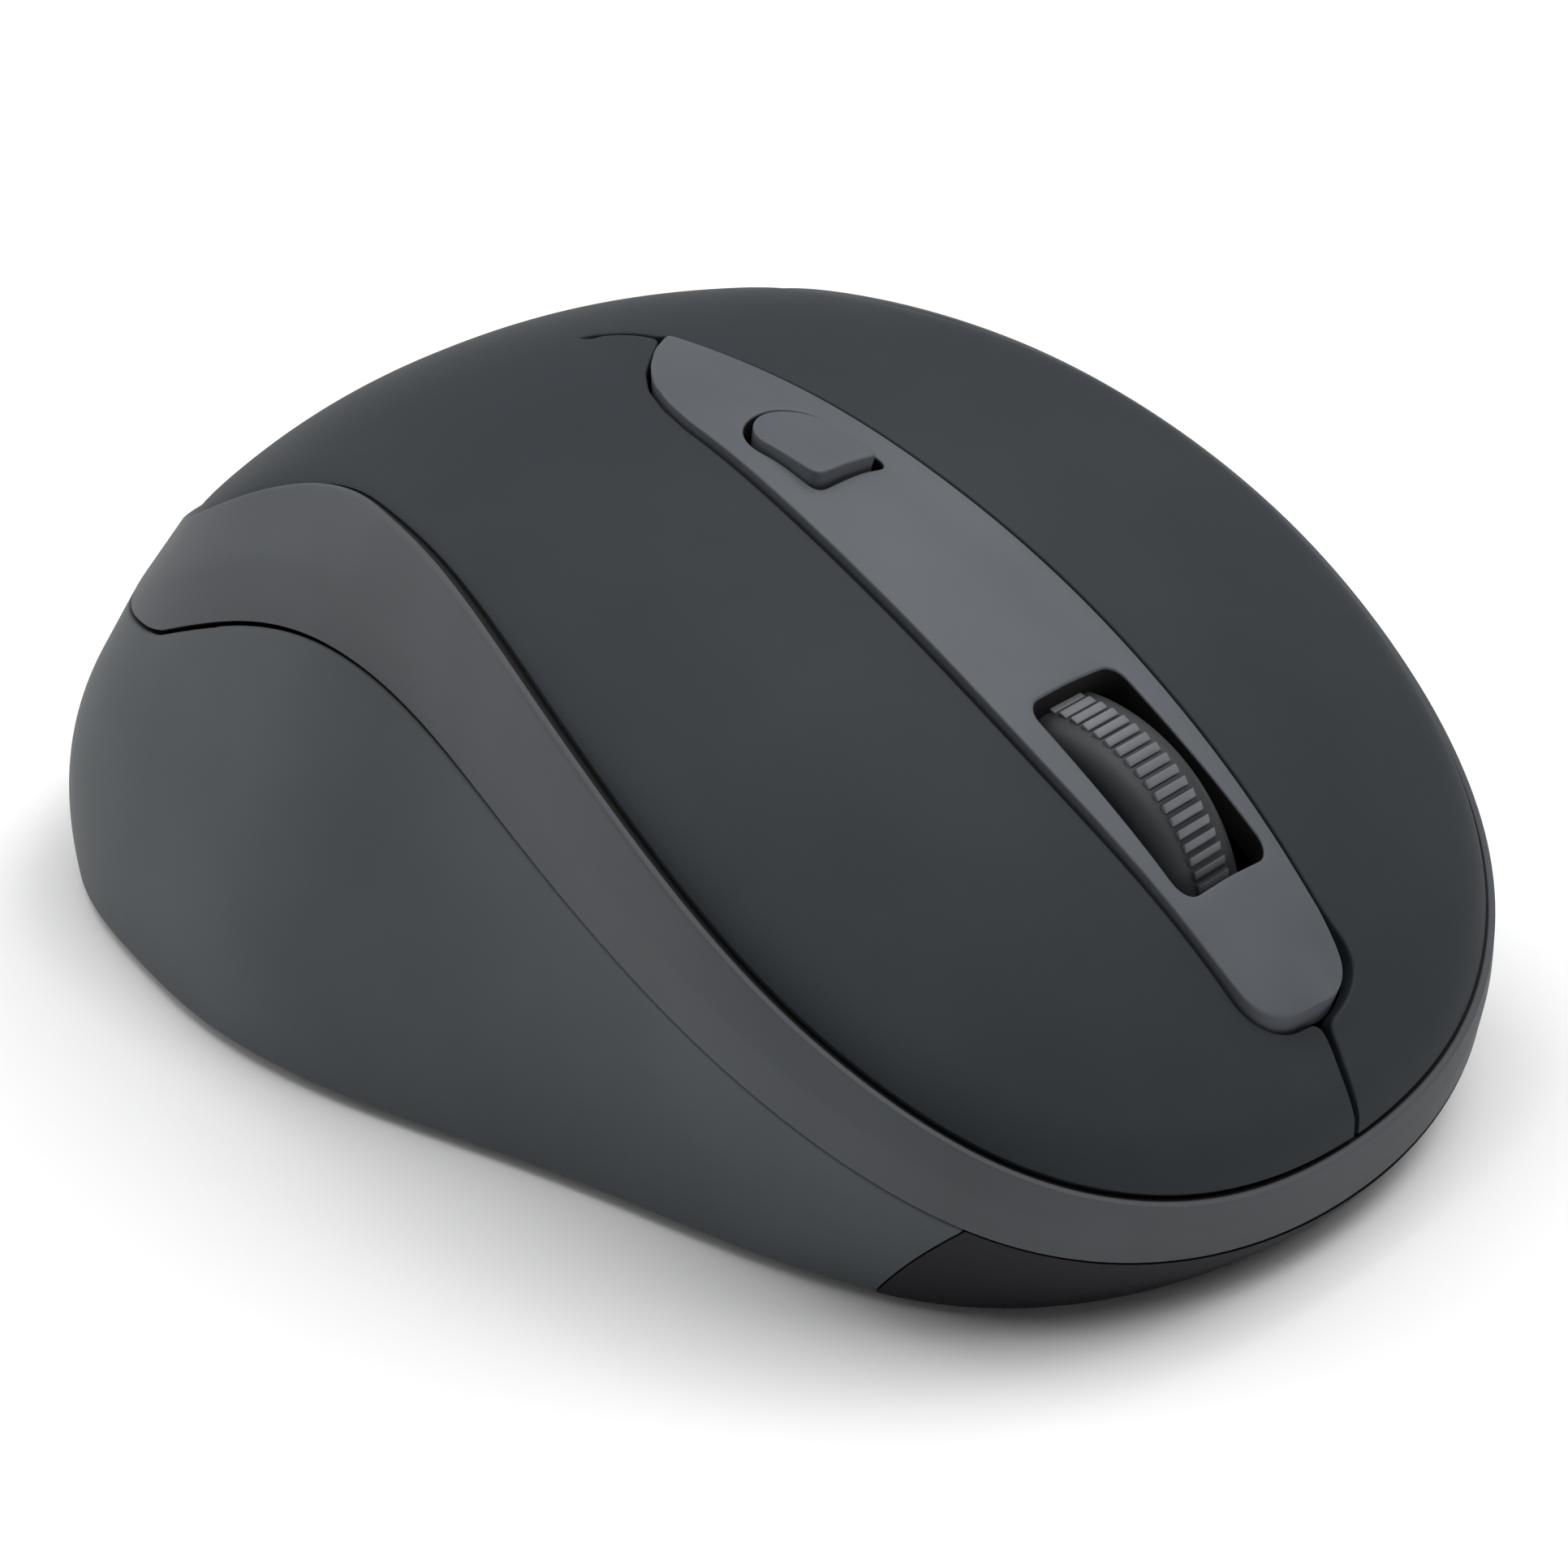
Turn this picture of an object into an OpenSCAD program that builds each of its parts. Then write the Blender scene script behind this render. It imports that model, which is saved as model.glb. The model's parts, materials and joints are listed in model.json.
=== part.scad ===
// Wireless computer mouse with a two-finger top cover, ribbed scroll wheel, mode button,
// underside battery door and a stowed radio receiver.
// The nose points along -Y, the left mouse button is at +X, and the feet stand on z = 0.

/* [Shells] */
// Wall thickness of the lower shell
shell_wall = 1.8; // [1.5:0.1:2.2]
// Wall thickness of the top cover and its two fingers
cover_wall = 1.2; // [1.0:0.1:1.4]
// Wall thickness of the trim band
band_wall = 1.5; // [1.3:0.1:1.8]
// Thickness of the floor plate
floor_wall = 1.6; // [1.4:0.1:1.8]
// Height of the floor plate above the table
foot_h = 0.8; // [0.6:0.1:1.0]
// Seam between the cover and the trim band
cover_seam = 0.3; // [0.25:0.05:0.4]

/* [Buttons] */
// Distance of the finger flexures behind the drawing centre
flexure_y = 19.5; // [19:0.5:22]
// Largest press angle of the left and right fingers
press_angle = 0.4; // [0.3:0.05:0.4]
// Slit between the left and the right finger
slit_w = 0.4; // [0.3:0.05:0.5]
// Gap around the centre strip
strip_gap = 0.4; // [0.3:0.05:0.5]
// Height of the centre strip above the cover
strip_rise = 0.5; // [0.3:0.1:0.8]
// Width of the mode button
mode_w = 6.0; // [5:0.5:6.5]

/* [Scroll wheel] */
// Outer radius of the wheel over its ribs
wheel_r = 12.5; // [12:0.1:12.6]
// Width of the rubber tyre
tyre_w = 6.4; // [6:0.1:6.6]
// Width of the ribbed band
rib_band_w = 3.3; // [3:0.1:4]
// Number of cross ribs round the tyre
rib_count = 84; // [60:2:96]
// Radius of the wheel's axle
axle_r = 1.6; // [1.4:0.1:1.8]

/* [Electronics] */
// Height of the circuit board's lower face
board_z = 5.0; // [4.8:0.1:5.2]
// Thickness of the circuit board
board_t = 1.2; // [1.0:0.1:1.6]
// Diameter of an AAA cell
cell_d = 10.4; // [10:0.1:10.5]
// Length of an AAA cell over its terminal
cell_l = 44.5; // [43.5:0.1:44.5]

/* [Hidden] */

$fn = 48;
eps = 0.01;

// Colours
cover_grey = [0.20, 0.22, 0.23];
band_grey = [0.31, 0.32, 0.34];
side_grey = [0.28, 0.29, 0.31];
base_black = [0.12, 0.12, 0.13];
strip_grey = [0.40, 0.41, 0.44];
rib_grey = [0.36, 0.37, 0.40];
board_green = [0.05, 0.30, 0.16];
part_black = [0.08, 0.08, 0.09];
part_white = [0.85, 0.85, 0.82];
steel = [0.72, 0.73, 0.75];

// The middle of the footprint, measured back from the drawing centre
mid_y = 1.5;
floor_top = foot_h + floor_wall;
board_top = board_z + board_t;

// Angles of the 12 spokes of the rims, from the nose round to the tail
spoke_angle = [0, 16, 32, 48, 64, 82, 100, 116, 130, 144, 160, 180];
last_spoke = 11;
turn = 2 * last_spoke;
// Spline radii of the cover rim, of the band's lower rim and of the floor rim
cover_rim_r = [51.5, 52, 50, 42.5, 34, 28, 25.5, 26, 28, 41.5, 44, 47];
band_rim_r = [52, 52, 50.5, 43.5, 35, 29.5, 27.5, 29.5, 35, 48, 53, 53.5];
floor_rim_r = [50, 49.5, 47, 39, 34, 33, 36, 40.5, 44.5, 52, 54, 54];
// Spline heights of the band's lower rim
band_rim_z = [3, 4, 8, 15.5, 20.5, 24, 26.5, 28.5, 28, 19.5, 12.5, 12];
// Spline heights of the crown line, every 10 mm from the nose to the tail
crown_z = [-4, 11, 21, 27.5, 33, 37, 40, 41, 40.5, 37, 30, 16.5, -2];
crown_start = -60;
crown_step = 10;
// How far the crown falls away 35 mm from the crown line, every 20 mm
crown_fall = [10, 7.5, 4.5, 4, 8, 16, 22];
fall_step = 20;
fall_width = 35;
fall_power = 2.2;
// Rounded drop of the cover's edge, from the nose to the tail
edge_drop = [1.5, 1, 0.2, 0, 0.3];
edge_round = 2;
// Swell of the band and of the lower shell between their rims
band_swell = [0.2, 0.4, 0.6, 0];
shell_swell = [0.2, 0.4, -1, 4, 1.5, 1.5];
// Half width of the centre strip, every 12 mm from the nose
strip_half = [4, 5, 6.5, 6.6, 5.8, 4.5, 3.4, 3];
strip_start = -55;
strip_step = 12;
strip_front = -46.6;
strip_tip_l = 2.5;
// The slanted rear end of the strip, from its near edge to its far point
strip_end = [[-4.6, 2.5], [-4.1, 5.2], [-3.0, 7.6], [-1.3, 9.6], [0.9, 11.4], [3.3, 13.1]];
// The slit that runs back from the strip's far point to the centre line
rear_slit = [[3.3, 13.1], [2.9, 14.8], [2.1, 16.2], [1.1, 17.4], [0, 18.2]];

// Where the lower shell starts behind the nose, and where the band's tips end
shell_from = 2.08;
// How far the part line between nose and shell leans back, and the band's tips lean up to the cover
shell_lean = 0.34;
band_to = 8.6;
band_lean = 1.7;
ring_step = 0.25;

// Scroll wheel
wheel_y = -26.7;
wheel_z = 16.1;
hub_r = 9.4;
slot_half_w = 4.3;
slot_front = -39.5;
slot_rear = -26;
slot_corner = 1.2;
pivot_y = -13.2;
pivot_z = 10.5;
pivot_r = 1.2;
plate_in = 3.9;
plate_t = 1.2;
running = 0.05;
cradle_front_y = -43;
cradle_front_z = 11;

// Switches
switch_x = 17;
switch_y = -33;
switch_size = [5.8, 12.8, 6.5];
wheel_switch_x = -9.3;
wheel_switch_y = -30.2;
wheel_tab_y = -27.2;
wheel_tab_z = 12.9;
plunger_r = 1.1;
well_depth = 0.8;

// Mode button
mode_front = -7.3;
mode_round_y = -2.8;
mode_rise = 0.7;
mode_board_z = 28.6;

// Cells, door and receiver
cell_x = 5.65;
cell_y = 0;
cell_z = 7.9;
box_in = 11.2;
box_wall = 1.2;
box_top = 14.4;
door_half = 13;
door_t = 1.4;
door_tongue = 1;
receiver_x = 20;
receiver_y = 15;
receiver_size = [6.2, 14.5, 19];

// Fasteners
front_screw = [12, -41];
rear_screw = [21, 36];
screw_r = 1.1;
boss_r = 2.6;
board_posts = [[20, -24], [20, -4]];
board_rest = [17, -40];

// ---------- Splines and surfaces ----------

function weights(f) = [pow(1 - f, 3), 3*pow(f, 3) - 6*f*f + 4, 3*(f + f*f - pow(f, 3)) + 1, pow(f, 3)] / 6;
function blend4(a, b, c, d, w) = a*w[0] + b*w[1] + c*w[2] + d*w[3];

// Closed, mirrored rims: a position counts spokes from the nose round the +X side
function spoke(i) = let (j = (i + 2*turn) % turn) j <= last_spoke ? j : turn - j;
function side_of(i) = (i + 2*turn) % turn <= last_spoke ? 1 : -1;
function rim_knot(radii, i) = let (a = spoke_angle[spoke(i)])
    radii[spoke(i)] * [side_of(i)*sin(a), -cos(a)];
function rim(radii, u) = let (i = floor(u), k = [for (j = [i - 1:i + 2]) rim_knot(radii, j)])
    blend4(k[0], k[1], k[2], k[3], weights(u - i));
function rim_z(heights, u) = let (i = floor(u), h = [for (j = [i - 1:i + 2]) heights[spoke(j)]])
    blend4(h[0], h[1], h[2], h[3], weights(u - i));

// Open splines, carried on straight past their ends
function knot(list, i) = i < 0 ? 2*list[0] - list[1]
    : i >= len(list) ? 2*list[len(list) - 1] - list[len(list) - 2] : list[i];
function along(list, start, step, at) =
    let (t = min(max((at - start)/step, 0), len(list) - 1.001), i = floor(t))
    blend4(knot(list, i - 1), knot(list, i), knot(list, i + 1), knot(list, i + 2), weights(t - i));
function folded(u) = let (m = u < 0 ? -u : u) m <= last_spoke ? m : turn - m;
function round_rim(list, u) = along(list, 0, last_spoke/(len(list) - 1), folded(u));

// Height of the smooth dome over a point, and its upward normal
function dome(x, y) = along(crown_z, crown_start, crown_step, y)
    - along(crown_fall, crown_start, fall_step, y) * pow(abs(x)/fall_width, fall_power);
function unit(v) = v / norm(v);
function dome_normal(x, y) =
    unit([dome(x - 0.1, y) - dome(x + 0.1, y), dome(x, y - 0.1) - dome(x, y + 0.1), 0.2]);

// Rims in space
function cover_rim(u) = let (p = rim(cover_rim_r, u)) [p.x, p.y, dome(p.x, p.y) - round_rim(edge_drop, u)];
function band_rim(u) = let (p = rim(band_rim_r, u)) [p.x, p.y, rim_z(band_rim_z, u)];
function floor_rim(u) = let (p = rim(floor_rim_r, u)) [p.x, p.y, foot_h];
function rim_normal(u) =
    let (d = rim(band_rim_r, u + 0.05) - rim(band_rim_r, u - 0.05)) unit([d.y, -d.x, 0]);

// Outer face of the sides: v runs 0 to 1 down the band and 1 to 2 down the lower shell
function bulge(swell, u, v) = rim_normal(u)*round_rim(swell, u)*4*v*(1 - v);
function band_point(u, v) = cover_rim(u)*(1 - v) + band_rim(u)*v + bulge(band_swell, u, v);
function shell_point(u, v) = band_rim(u)*(1 - v) + floor_rim(u)*v + bulge(shell_swell, u, v);

// How far the fingers' edge comes down when they are pressed
function press_drop(y) = max(0, flexure_y - y) * sin(press_angle);

// ---------- Solid builders ----------

// Rebuilds its children as one mesh
module as_mesh() resize([0, 0, 0]) children();

// Moves a sub-part from the drawing centre to the middle of the footprint
module placed() translate([0, -mid_y, 0]) children();

// A solid swept through open cross-sections; each one lists its outer side, then its inner side back
module sweep(sections) {
    n = len(sections);
    m = len(sections[0]);
    walls = [for (i = [0:n - 2], j = [0:m - 1]) let (a = i*m + j, b = i*m + (j + 1) % m)
        each [[a, b + m, b], [a, a + m, b + m]]];
    near_end = [for (k = [0:m/2 - 2]) each [[k, k + 1, m - 2 - k], [k, m - 2 - k, m - 1 - k]]];
    far_end = [for (f = near_end) [f[0] + (n - 1)*m, f[2] + (n - 1)*m, f[1] + (n - 1)*m]];
    polyhedron([for (s = sections, p = s) p], concat(walls, near_end, far_end), convexity = 8);
}

// A solid closed by rings that run from one middle point out to the rim and back to another
module dish(rings, first, last) {
    n = len(rings);
    m = len(rings[0]);
    walls = [for (i = [0:n - 2], j = [0:m - 1]) let (a = i*m + j, b = i*m + (j + 1) % m)
        each [[a, b, b + m], [a, b + m, a + m]]];
    top = [for (j = [0:m - 1]) [n*m, (j + 1) % m, j]];
    bottom = [for (j = [0:m - 1]) [n*m + 1, (n - 1)*m + j, (n - 1)*m + (j + 1) % m]];
    points = concat([for (r = rings, p = r) p], [first, last]);
    polyhedron(points, concat(walls, top, bottom), convexity = 8);
}

// Faces of the band's wall, of the lower shell's wall and of the wall between the band's tips
function band_outer(u, v) = let (d = 0.15 + press_drop(cover_rim(u).y))
    band_point(u, v) + rim_normal(u)*cover_seam*(1 - v) - [0, 0, d*(1 - v) - 0.1*v];
function band_inner(u, v) = let (d = 2.6 + press_drop(cover_rim(u).y))
    band_point(u, v) - rim_normal(u)*(band_wall*v + 0.9*(1 - v)) - [0, 0, d*(1 - v) - 0.1*v];
function shell_outer(u, v) = shell_point(u, v) - [0, 0, 0.1*(1 - v)];
function tail_outer(u, v) =
    band_point(u, v) + rim_normal(u)*cover_seam*(1 - v) - [0, 0, 0.15*(1 - v) + 0.3*v];
function tail_inner(u, v) =
    band_point(u, v) - rim_normal(u)*(shell_wall*v + 0.9*(1 - v)) - [0, 0, 2.6*(1 - v) + 0.3*v];

// Position i of n between two ends that lean together by lean
function leaning(a, b, lean, i, n) = a + lean + (b - a - 2*lean)*i/n;

// A wall that follows the band from position a to position b, longest along its upper edge
module band_wall_arc(a, b, steps) {
    sweep([for (i = [0:steps]) concat(
        [for (v = [0:0.2:1]) band_outer(leaning(a, b, -band_lean*(1 - v), i, steps), v)],
        [for (v = [1:-0.2:0]) band_inner(leaning(a, b, -band_lean*(1 - v), i, steps), v)]
    )]);
}

// A wall that follows the lower shell from position a to position b
module shell_wall_arc(a, b, steps, thick, lean) {
    sweep([for (i = [0:steps]) concat(
        [for (v = [0:0.2:1]) shell_outer(leaning(a, b, lean*v, i, steps), v)],
        [for (v = [1:-0.2:0]) let (u = leaning(a, b, lean*v, i, steps))
            shell_outer(u, v) - rim_normal(u)*thick]
    )]);
}

// The wall between the band's two tips, up to the cover
module tail_wall_arc(a, b, steps) {
    sweep([for (i = [0:steps]) concat(
        [for (v = [0:0.2:1]) tail_outer(leaning(a, b, band_lean*(1 - v), i, steps), v)],
        [for (v = [1:-0.2:0]) tail_inner(leaning(a, b, band_lean*(1 - v), i, steps), v)]
    )]);
}

// The whole top cover, before it is cut into the palm piece and the fingers
module cover_skin() {
    places = [for (u = [0:ring_step:turn - ring_step]) u];
    shrink = [0.12, 0.3, 0.5, 0.7, 0.84, 0.93, 0.965, 0.985, 1];
    outer = [for (k = shrink) [for (u = places) let (
        p = rim(cover_rim_r, u)*k,
        s = min(norm(rim(cover_rim_r, u))*(1 - k)/edge_round, 1),
        drop = round_rim(edge_drop, u)*(1 - sqrt(1 - pow(1 - s, 2))))
        [p.x, p.y, dome(p.x, p.y) - drop]]];
    inner = [for (i = [len(shrink) - 1:-1:0]) [for (u = places) let (
        p = rim(cover_rim_r, u)*min(shrink[i], 0.985),
        n = dome_normal(p.x, p.y))
        [p.x, p.y, dome(p.x, p.y) - (i == len(shrink) - 1 ? 0.25 : 0)] - n*cover_wall]];
    dish(concat(outer, inner), [0, 0, dome(0, 0)], [0, 0, dome(0, 0) - cover_wall]);
}

// Half width of the strip at a distance from the nose, with its rounded front tip
function strip_side(y) = let (w = along(strip_half, strip_start, strip_step, y),
    f = min(max((strip_front + strip_tip_l - y)/strip_tip_l, 0), 1)) w*pow(1 - pow(f, 2.6), 1/2.6);
function strip_near(y) = y <= strip_end[0].y ? -strip_side(y) : lookup(y, [for (p = strip_end) [p.y, p.x]]);

strip_stations = concat(
    [for (f = [0.02, 0.1, 0.25, 0.5, 0.8]) strip_front + strip_tip_l*f],
    [for (y = [-44:2:2]) y],
    [for (y = [2.5, 4, 5.2, 6.4, 7.6, 8.6, 9.6, 10.5, 11.4, 12.2, 12.9]) y]
);

module strip_outline() {
    polygon(concat(
        [for (y = strip_stations) [strip_near(y), y]],
        [for (i = [len(strip_stations) - 1:-1:0]) [strip_side(strip_stations[i]), strip_stations[i]]]
    ));
}

// The strip's skin between two heights over the dome
module strip_skin(low, high, across = 6) {
    sweep([for (y = strip_stations) let (a = strip_near(y), b = strip_side(y))
        concat(
            [for (i = [0:across]) let (x = a + (b - a)*i/across) [x, y, dome(x, y) + high]],
            [for (i = [across:-1:0]) let (x = a + (b - a)*i/across) [x, y, dome(x, y) + low]]
        )]);
}

// A strip of skin round the mode button between two heights over the dome
module crown_skin(low, high, half, front, back) {
    sweep([for (y = [front:1:back])
        concat(
            [for (i = [-4:4]) [half*i/4, y, dome(half*i/4, y) + high]],
            [for (i = [4:-1:-4]) [half*i/4, y, dome(half*i/4, y) + low]]
        )]);
}

module rounded_slot(half_w, front, rear, r) {
    translate([-half_w + r, front + r]) square([2*(half_w - r), rear - front - 2*r]);
    for (x = [-1, 1], y = [front + r, rear - r]) translate([x*(half_w - r), y]) circle(r);
    translate([-half_w, front + r]) square([2*half_w, rear - front - 2*r]);
    translate([-half_w + r, front]) square([2*(half_w - r), rear - front]);
}

// D-shaped outline of the mode button, straight at the front and round at the rear
module mode_outline(grow) {
    r = mode_w/2 + grow;
    translate([0, mode_round_y]) circle(r);
    translate([-r, mode_front - grow]) square([2*r, mode_round_y - mode_front + grow]);
}

module slit_line(w) {
    for (i = [0:len(rear_slit) - 2]) hull() {
        translate(rear_slit[i]) circle(d = w, $fn = 12);
        translate(rear_slit[i + 1]) circle(d = w, $fn = 12);
    }
}

// Plan of one finger: side is 1 for the left button and -1 for the right one
module finger_plan(side) {
    reach = 60;
    path = concat([[0, -reach], [0, 10]], rear_slit, [[0, flexure_y]]);
    difference() {
        polygon(concat(path, [[side*reach, flexure_y], [side*reach, -reach]]));
        offset(r = strip_gap) strip_outline();
        slit_line(slit_w);
        translate([-slit_w/2, -reach]) square([slit_w, reach - 40]);
        translate([-slit_w/2, 18]) square([slit_w, 3]);
        translate([-reach, flexure_y - 0.15]) square([2*reach, 1]);
    }
}

module floor_plan(inset) {
    polygon([for (u = [0:ring_step:turn - ring_step])
        let (p = floor_rim(u) - rim_normal(u)*inset) [p.x, p.y]]);
}

// ---------- Casing ----------

module base_shell() color(base_black) placed() as_mesh() {
    difference() {
        union() {
            translate([0, 0, foot_h]) linear_extrude(floor_wall) floor_plan(shell_wall + 0.15);
            shell_wall_arc(-shell_from + 0.01, shell_from - 0.01, 48, shell_wall + 0.5, -shell_lean);
            for (p = board_posts, s = [-1, 1]) translate([s*p.x, p.y, floor_top - eps]) {
                cylinder(h = board_z - floor_top + eps, r = 2.2, $fn = 24);
            }
            for (s = [-1, 1]) translate([s*board_rest.x, board_rest.y, floor_top - eps]) {
                cylinder(h = board_z - floor_top + eps, r = 1.5, $fn = 24);
            }
            translate([receiver_x - 4.3, receiver_y - 8.5, floor_top - eps]) cube([8.6, 17, 15]);
            for (s = [-1, 1]) translate([s*rear_screw.x, rear_screw.y, floor_top - eps]) {
                cylinder(h = 1.2, r = boss_r, $fn = 24);
            }
        }
        // Lens opening, switch slot, receiver bay and screw holes
        translate([-3, -9, 0]) cube([6, 7, 4]);
        translate([-16.8, -12, 0]) cube([3.2, 9, 4]);
        translate([receiver_x - 3.3, receiver_y - 7.5, 0]) cube([6.6, 15, 17.5 - eps]);
        translate([receiver_x - 2.6, receiver_y - 6.4, 0]) cube([5.2, 12.8, 30]);
        for (s = [-1, 1], p = [front_screw, rear_screw]) translate([s*p.x, p.y, 0]) {
            cylinder(h = 6, r = screw_r + 0.15, $fn = 24);
            cylinder(h = foot_h + 0.8, r = 2.3, $fn = 24);
        }
        for (p = board_posts, s = [-1, 1]) translate([s*p.x, p.y, 3]) cylinder(h = 3, r = 1.03, $fn = 24);
        // Cell opening and the grooves of its door
        translate([-door_half - 0.2, -0.4, 0]) cube([2*door_half + 0.4, 70, 6]);
        translate([-door_half - door_tongue - 0.2, -0.4, foot_h + 0.3]) {
            cube([2*(door_half + door_tongue) + 0.4, 70, 0.9]);
        }
    }
}

module rear_shell() color(side_grey) placed() as_mesh() {
    difference() {
        union() {
            shell_wall_arc(shell_from, turn - shell_from, 74, shell_wall, shell_lean);
            tail_wall_arc(band_to + 0.03, turn - band_to - 0.03, 20);
            for (s = [-1, 1]) translate([s*rear_screw.x, rear_screw.y, floor_top + 1.3]) {
                cylinder(h = 9, r = boss_r, $fn = 24);
                translate([s > 0 ? 0 : -9, -0.7, 0]) cube([9, 1.4, 7]);
            }
        }
        for (s = [-1, 1]) translate([s*rear_screw.x, rear_screw.y, 0]) {
            cylinder(h = 11, r = screw_r + 0.03, $fn = 24);
        }
        tunnel_half = door_half + door_tongue + 0.3;
        translate([-tunnel_half, 30, 0]) cube([2*tunnel_half, 40, floor_top + 0.2]);
    }
}

module trim_band() color(band_grey) placed() as_mesh() {
    difference() {
        union() {
            band_wall_arc(-band_to, band_to, 76);
            for (s = [-1, 1]) translate([s*front_screw.x, front_screw.y, floor_top + 0.1]) {
                cylinder(h = 6, r = boss_r, $fn = 24);
            }
            for (s = [-1, 1]) translate([s*front_screw.x - 0.7, -49.1, 5]) cube([1.4, 7.2, 2.2]);
        }
        for (s = [-1, 1]) translate([s*front_screw.x, front_screw.y, 0]) {
            cylinder(h = 7.4, r = screw_r + 0.03, $fn = 24);
        }
    }
}

module palm_cover() color(cover_grey) placed() as_mesh() {
    intersection() {
        cover_skin();
        translate([-60, flexure_y + 0.15, 0]) cube([120, 60, 60]);
    }
    for (s = [-1, 1]) translate([s*8, 30, box_top]) {
        cylinder(h = dome(8, 31) - box_top - cover_wall - 0.6, r = 2, $fn = 24);
    }
}

module finger(side) as_mesh() {
    intersection() {
        cover_skin();
        linear_extrude(60) finger_plan(side);
    }
    translate([side*switch_x, switch_y, board_top + switch_size.z + 0.95]) {
        cylinder(h = dome(switch_x, switch_y) - board_top - switch_size.z - 3.2, r = 1.6, $fn = 24);
    }
}

module left_button() color(cover_grey) placed() finger(1);
module right_button() color(cover_grey) placed() finger(-1);

module centre_strip() color(strip_grey) placed() as_mesh() {
    difference() {
        strip_skin(-1, strip_rise);
        linear_extrude(60) rounded_slot(slot_half_w, slot_front, slot_rear, slot_corner);
        linear_extrude(60) mode_outline(0.2);
    }
    // Front leg, rear leg and the two cheeks that carry the mode button's board
    translate([-3, -45.1, board_top]) cube([6, 1.1, dome(0, -45.1) - board_top - 0.6]);
    translate([-1.2, 5, box_top]) cube([2.4, 1.6, dome(0, 5) - box_top - 0.8]);
    for (s = [-1, 1]) translate([s*4.4 - 0.5, -8, mode_board_z - 1]) {
        cube([1, 9, dome(4.4, -8) - mode_board_z + 0.4]);
    }
}

module mode_button() color(strip_grey) placed() as_mesh() {
    intersection() {
        crown_skin(-1.2, strip_rise + mode_rise, 5.3, -9.15, 4.85);
        linear_extrude(60) mode_outline(0);
    }
    translate([0, -2.3, mode_board_z + board_t + 4.6]) {
        cylinder(h = dome(0, -2.3) - mode_board_z - board_t - 5.2, r = 1.5, $fn = 24);
    }
}

module battery_door() color(base_black) placed() as_mesh() {
    intersection() {
        union() {
            translate([-door_half, 0, foot_h]) cube([2*door_half, 70, door_t]);
            translate([-door_half - door_tongue, 0, foot_h + 0.4]) {
                cube([2*(door_half + door_tongue), 70, 0.7]);
            }
        }
        translate([0, 0, -1]) linear_extrude(10) floor_plan(0.1);
    }
    for (i = [-2:2]) translate([-4, 6 + 1.6*i, foot_h - 0.3]) cube([8, 0.7, 0.4]);
}

// ---------- Scroll wheel ----------

module scroll_hub() color(part_black) placed() translate([0, wheel_y, wheel_z]) rotate([0, 90, 0]) {
    difference() {
        cylinder(h = 5.4, r = hub_r, center = true);
        for (a = [0:30:359]) rotate(a) translate([6.4, -0.7, -5]) cube([2, 1.4, 10]);
    }
    cylinder(h = 2*(plate_in + plate_t) + 1.2, r = axle_r, center = true);
    cylinder(h = 2*plate_in - 0.3, r = 2.6, center = true);
}

module scroll_tyre() color(rib_grey) placed() translate([0, wheel_y, wheel_z]) rotate([0, 90, 0]) {
    r = wheel_r - 0.4;
    half = tyre_w/2;
    rotate_extrude($fn = 96) polygon([
        [hub_r + 0.02, -half], [r - 2.2, -half], [r - 0.9, -half + 0.4],
        [r - 0.1, -rib_band_w/2 - 0.2], [r, -rib_band_w/2], [r, rib_band_w/2],
        [r - 0.1, rib_band_w/2 + 0.2], [r - 0.9, half - 0.4], [r - 2.2, half], [hub_r + 0.02, half]
    ]);
    pitch = 360/rib_count;
    linear_extrude(rib_band_w - 0.2, center = true) difference() {
        polygon([for (i = [0:rib_count - 1], k = [0:3])
            let (a = (i + [-0.28, -0.2, 0.2, 0.28][k])*pitch, d = k == 1 || k == 2 ? wheel_r : r - 0.2)
            d*[cos(a), sin(a)]]);
        circle(r - 1.5);
    }
}

// Side view of a cradle plate: pivot eye, axle eye and front end
module cradle_profile() {
    translate([pivot_y, pivot_z]) circle(2.4);
    translate([wheel_y, wheel_z]) circle(3.2);
    polygon([
        [pivot_y, pivot_z - 1.4], [pivot_y + 0.6, pivot_z + 1.6],
        [wheel_y + 1, wheel_z + 2], [wheel_y - 2, wheel_z + 1.6],
        [cradle_front_y - 0.6, cradle_front_z + 1.4], [cradle_front_y - 0.6, cradle_front_z - 0.8],
        [cradle_front_y + 2, cradle_front_z - 0.8], [wheel_y - 1, wheel_z - 2.4]
    ]);
}

module cradle_plate() rotate([90, 0, 90]) linear_extrude(plate_t) difference() {
    cradle_profile();
    translate([wheel_y, wheel_z]) circle(axle_r + running);
}

module scroll_cradle() color(part_black) placed() {
    translate([plate_in, 0, 0]) cradle_plate();
    translate([-plate_in - plate_t, 0, 0]) cradle_plate();
    translate([-plate_in - eps, cradle_front_y - 0.6, cradle_front_z - 0.8]) {
        cube([2*plate_in + 2*eps, 2.2, 2]);
    }
    translate([-7.2, pivot_y, pivot_z]) rotate([0, 90, 0]) cylinder(h = 14.4, r = pivot_r);
    translate([wheel_switch_x - 2, wheel_tab_y - 1.5, wheel_tab_z]) {
        cube([-plate_in - plate_t/2 - wheel_switch_x + 2, 3, 1.4]);
    }
}

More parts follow.
